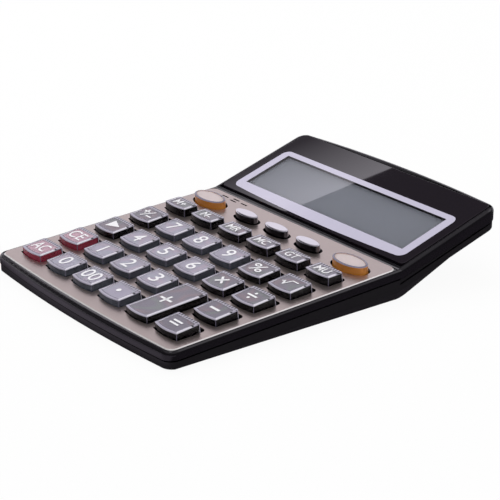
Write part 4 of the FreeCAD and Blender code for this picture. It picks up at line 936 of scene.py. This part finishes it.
# Orange keys: oval clear caps over orange cores, one at each end of the rear row.
# Made as the other keys are; the rim is a piece of its own with painted shade on its flat top and painted light on
# its rounded edge.
OVAL_X = 55.4 * MM
OVAL_WIDTH = 22.4 * MM
OVAL_DEPTH = 11.6 * MM
OVAL_RISE = 3.6 * MM
OVAL_WALL = 1.3 * MM
OVAL_RIM = 0.55 * MM
OVAL_CORE_LEAN = 0.1 * MM
OVAL_CORE_ROUND = 0.25 * MM
OVAL_SIDES = 72


def oval(name, width, depth, low, high, lean):
    """An oval post with leaning walls, modelled round the key's own centre."""
    bpy.ops.object.select_all(action="DESELECT")
    bpy.ops.mesh.primitive_cylinder_add(vertices=OVAL_SIDES, radius=0.5, depth=1.0,
                                        location=(0.0, 0.0, (low + high) / 2))
    piece = bpy.context.object
    piece.name = name
    piece.scale = (width, depth, high - low)
    bpy.ops.object.transform_apply(location=True, rotation=True, scale=True)
    draw_in_top(piece, high, 1.0 - 2.0 * lean / width, 1.0 - 2.0 * lean / depth)
    return piece


orange_cap = oval("orange_cap", OVAL_WIDTH, OVAL_DEPTH, CAP_LOW, OVAL_RISE, (OVAL_RISE - CAP_LOW) * CAP_DRAFT)
round_top(orange_cap, CAP_ROUND, 3)
select_in(orange_cap, "FACE", lambda at, normal: normal.z > LEVEL)
bpy.ops.mesh.inset(thickness=OVAL_RIM)
bpy.ops.object.mode_set(mode="OBJECT")
# The oval rim's painted light: painted shade on the flat top, painted light on the rounded edge.
orange_rim = part_edges(orange_cap, "orange_rim",
                        lambda at, normal: edge_painted_shade if normal.z > 0.6 else edge_painted_light, with_corners=False)
smooth(orange_cap)
core_width, core_depth = OVAL_WIDTH - 2.0 * OVAL_WALL, OVAL_DEPTH - 2.0 * OVAL_WALL
orange_core = oval("orange_core", core_width, core_depth, FLANGE_TOP, OVAL_RISE - CAP_ROOF, OVAL_CORE_LEAN)
round_top(orange_core, OVAL_CORE_ROUND, 3)
add_flange(orange_core, core_width, core_depth)
smooth(orange_core)
masters["oval"] = (orange_cap, orange_rim, orange_core, -OVAL_DEPTH / 2, OVAL_DEPTH / 2, OVAL_RISE, OVAL_RISE)
fit_key("key_orange_left", "oval", -OVAL_X, OVAL_ROW, orange)
fit_key("key_orange_right", "oval", OVAL_X, OVAL_ROW, orange)


# Chrome keys: three plated ovals between the orange ones.
# Moulded, plated all over, with a round shoulder; the walls carry painted shade, a dark reflection, but for the right
# end.
CHROME_PITCH = 24.3 * MM
CHROME_WIDTH = 17.0 * MM
CHROME_DEPTH = 7.0 * MM
CHROME_RISE = 3.6 * MM
CHROME_ROUND = 0.8 * MM
CHROME_PAINTED_SHADE = (0.07, 0.066, 0.075)
chrome = moulded("chrome_plate", (0.60, 0.585, 0.63), (0.68, 0.665, 0.71), 0.04, 0.09, 700.0, 0.02)
tree = chrome.node_tree
shader = tree.nodes["Principled BSDF"]
shader.inputs["Metallic"].default_value = 1.0
facing = place_node(tree, "ShaderNodeNewGeometry")
# Painted shade: the walls, but for those that face right, turn a dark mirror.
wall = ramp(tree, towards(tree, facing.outputs["True Normal"], KEYPAD_UP), 0.1, 0.5, 1.0, 0.0)
not_right = ramp(tree, towards(tree, facing.outputs["True Normal"], (1.0, 0.0, 0.0)), 0.6, 0.8, 1.0, 0.0)
plating = shader.inputs["Base Color"].links[0].from_socket
tree.links.new(blend(tree, calculate(tree, "MULTIPLY", wall, not_right), plating, CHROME_PAINTED_SHADE),
               shader.inputs["Base Color"])
chrome_master = oval("chrome_master", CHROME_WIDTH, CHROME_DEPTH, FLANGE_TOP, CHROME_RISE,
                     (CHROME_RISE - FLANGE_TOP) * CAP_DRAFT)
round_top(chrome_master, CHROME_ROUND, 6)
add_flange(chrome_master, CHROME_WIDTH, CHROME_DEPTH)
smooth(chrome_master, 40.0)
for number in (1, 2, 3):
    key = "key_chrome_%d" % number
    plated = copy_to(chrome_master, key + "_plated",
                     KEYPAD @ Matrix.Translation(((number - 2) * CHROME_PITCH, OVAL_ROW, 0.0)))
    paint(plated, chrome)
    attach(plated, key)
    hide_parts(key)


# Display lens: a thick acrylic panel printed black from behind, with a pale printed frame.
# It lies in a recess of the display head. Its window is left clear, and the clear part is
# drawn as a block down to the liquid crystal panel, with dull black sides.
DISPLAY = Matrix.Translation(DISPLAY_START) @ Matrix.Rotation(DISPLAY_TILT, 4, "X")
LENS_HALF = 70.8 * MM
LENS_FRONT = 3.1 * MM
LENS_REAR = 61.1 * MM
LENS_THICK = 2.2 * MM
LENS_CORNER = 2.5 * MM
LENS_ROUND = 0.25 * MM
WINDOW_HALF = 60.8 * MM
WINDOW_FRONT = 11.9 * MM
WINDOW_REAR = 41.1 * MM
FRAME_HALF = 65.75 * MM
FRAME_FRONT = 6.8 * MM
FRAME_BOW = 2.1 * MM
FRAME_REAR = 44.65 * MM
FRAME_CORNER = 4.0 * MM
PRINT_THICK = 0.012 * MM
WELL_SLACK = 0.1 * MM
PANE_GAP = 0.03 * MM
PANE_DEPTH = 3.62 * MM


def cut_out(piece, width, front, rear, low, high):
    """Takes a block out of a piece."""
    cutter = block("cutter", width, front, rear, low, high)
    alone(piece)
    taken = piece.modifiers.new("window", "BOOLEAN")
    taken.operation = "DIFFERENCE"
    taken.solver = "EXACT"
    taken.object = cutter
    bpy.ops.object.modifier_apply(modifier="window")
    bpy.data.objects.remove(cutter)


def slab(name, half, front, rear, low, high, corner):
    """A flat panel, with round corners if corner is more than nothing."""
    panel = block(name, 2.0 * half, front, rear, low, high)
    if corner:
        round_corners(panel, corner, 8, 2.0 * half, lambda y: True)
    return panel


lens_black = moulded("lens_black", (0.0095, 0.0065, 0.0105), (0.0115, 0.0082, 0.0125), 0.0, 0.015, 200.0, 0.0)
lens = slab("lens_panel", LENS_HALF, LENS_FRONT, LENS_REAR, -LENS_THICK, -2.0 * PRINT_THICK, LENS_CORNER)
round_top(lens, LENS_ROUND, 3)
cut_out(lens, 2.0 * WINDOW_HALF, WINDOW_FRONT, WINDOW_REAR, -2.0 * LENS_THICK, LENS_THICK)
smooth(lens)
paint(lens, lens_black)
well_black = moulded("well_black", (0.005, 0.004, 0.006), (0.007, 0.006, 0.008), 0.7, 0.85, 2000.0, 0.1)
well_black.node_tree.nodes["Principled BSDF"].inputs["Specular IOR Level"].default_value = 0.1
lens.data.materials.append(well_black)
for face in lens.data.polygons:
    in_window = abs(face.center.x) < WINDOW_HALF + WELL_SLACK and face.center.y < WINDOW_REAR + WELL_SLACK
    if abs(face.normal.z) < 0.5 and in_window and face.center.y > WINDOW_FRONT - WELL_SLACK:
        face.material_index = 1
lens.data.transform(DISPLAY)
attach(lens, "case")
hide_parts("display_lens")

frame_print = moulded("frame_print", (0.58, 0.55, 0.69), (0.62, 0.59, 0.73), 0.05, 0.10, 2500.0, 0.01)
border = slab("printed_frame", FRAME_HALF, FRAME_FRONT, FRAME_REAR, -2.5 * PRINT_THICK, -PRINT_THICK, 0.0)
bow_front(border, 2.0 * FRAME_HALF, FRAME_FRONT, FRAME_BOW)
round_corners(border, FRAME_CORNER, 8, 2.0 * FRAME_HALF, lambda y: True)
cut_out(border, 2.0 * WINDOW_HALF, WINDOW_FRONT, WINDOW_REAR, -LENS_THICK, LENS_THICK)
paint(border, frame_print)
border.data.transform(DISPLAY)
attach(border, "case")

window_clear = clear_plastic("window_clear", (0.97, 0.97, 0.98), 0.0, 0.01, 0.0)
pane = slab("window_pane", WINDOW_HALF - PANE_GAP, WINDOW_FRONT + PANE_GAP, WINDOW_REAR - PANE_GAP,
            -PANE_DEPTH, -2.0 * PRINT_THICK, 0.0)
paint(pane, window_clear)
pane.data.materials.append(well_black)
for face in pane.data.polygons:
    face.material_index = 0 if abs(face.normal.z) > 0.5 else 1
pane.data.transform(DISPLAY)
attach(pane, "case")


# Liquid crystal panel: plain grey glass under the window, switched off.
# It is clamped against the display head by its holder.
lcd_grey = moulded("lcd_grey", (0.38, 0.40, 0.465), (0.41, 0.43, 0.50), 0.25, 0.4, 5000.0, 0.02)
finish_node("lcd_panel", lcd_grey)


# Inner pieces: holder, ribbon, contact mat, board, chip, screws, loudspeaker, cells and contacts.
# They sit inside the case on its bosses and are seen only when it is opened.
holder_black = moulded("holder_black", (0.03, 0.03, 0.032), (0.045, 0.045, 0.048), 0.4, 0.6, 1500.0, 0.2)
ribbon_amber = moulded("ribbon_amber", (0.42, 0.22, 0.06), (0.52, 0.30, 0.10), 0.25, 0.35, 800.0, 0.03)
mat_grey = moulded("mat_grey", (0.30, 0.30, 0.29), (0.36, 0.36, 0.35), 0.55, 0.75, 900.0, 0.1)
board_green = moulded("board_green", (0.02, 0.10, 0.04), (0.04, 0.16, 0.07), 0.25, 0.4, 350.0, 0.15)
chip_black = moulded("chip_black", (0.012, 0.012, 0.012), (0.02, 0.02, 0.02), 0.5, 0.6, 3000.0, 0.2)
speaker_grey = moulded("speaker_grey", (0.05, 0.05, 0.055), (0.08, 0.08, 0.085), 0.35, 0.5, 900.0, 0.1)
cell_wrap = moulded("cell_wrap", (0.10, 0.11, 0.13), (0.16, 0.17, 0.19), 0.2, 0.3, 200.0, 0.03)
foot_rubber = moulded("foot_rubber", (0.015, 0.015, 0.015), (0.03, 0.03, 0.03), 0.7, 0.85, 1800.0, 0.2)
steel = brushed("plated_steel", (0.42, 0.42, 0.44), (0.56, 0.56, 0.58), 0.22, 0.38)[0]
for node, material in (
        ("lcd_holder", holder_black), ("display_ribbon", ribbon_amber), ("keypad_mat", mat_grey),
        ("main_board", board_green), ("controller_chip", chip_black), ("speaker", speaker_grey),
        ("battery_cell_left", cell_wrap), ("battery_cell_right", cell_wrap), ("rubber_feet", foot_rubber),
        ("battery_contact_positive", steel), ("battery_contact_negative", steel), ("board_screws", steel),
        ("lcd_holder_screws", steel), ("housing_screws", steel)):
    finish_node(node, material)

# The shapes that the keys were copied from go; what is left is the finished object.
for master in [part for kept in masters.values() for part in kept[:3]] + [chrome_master]:
    bpy.data.objects.remove(master)
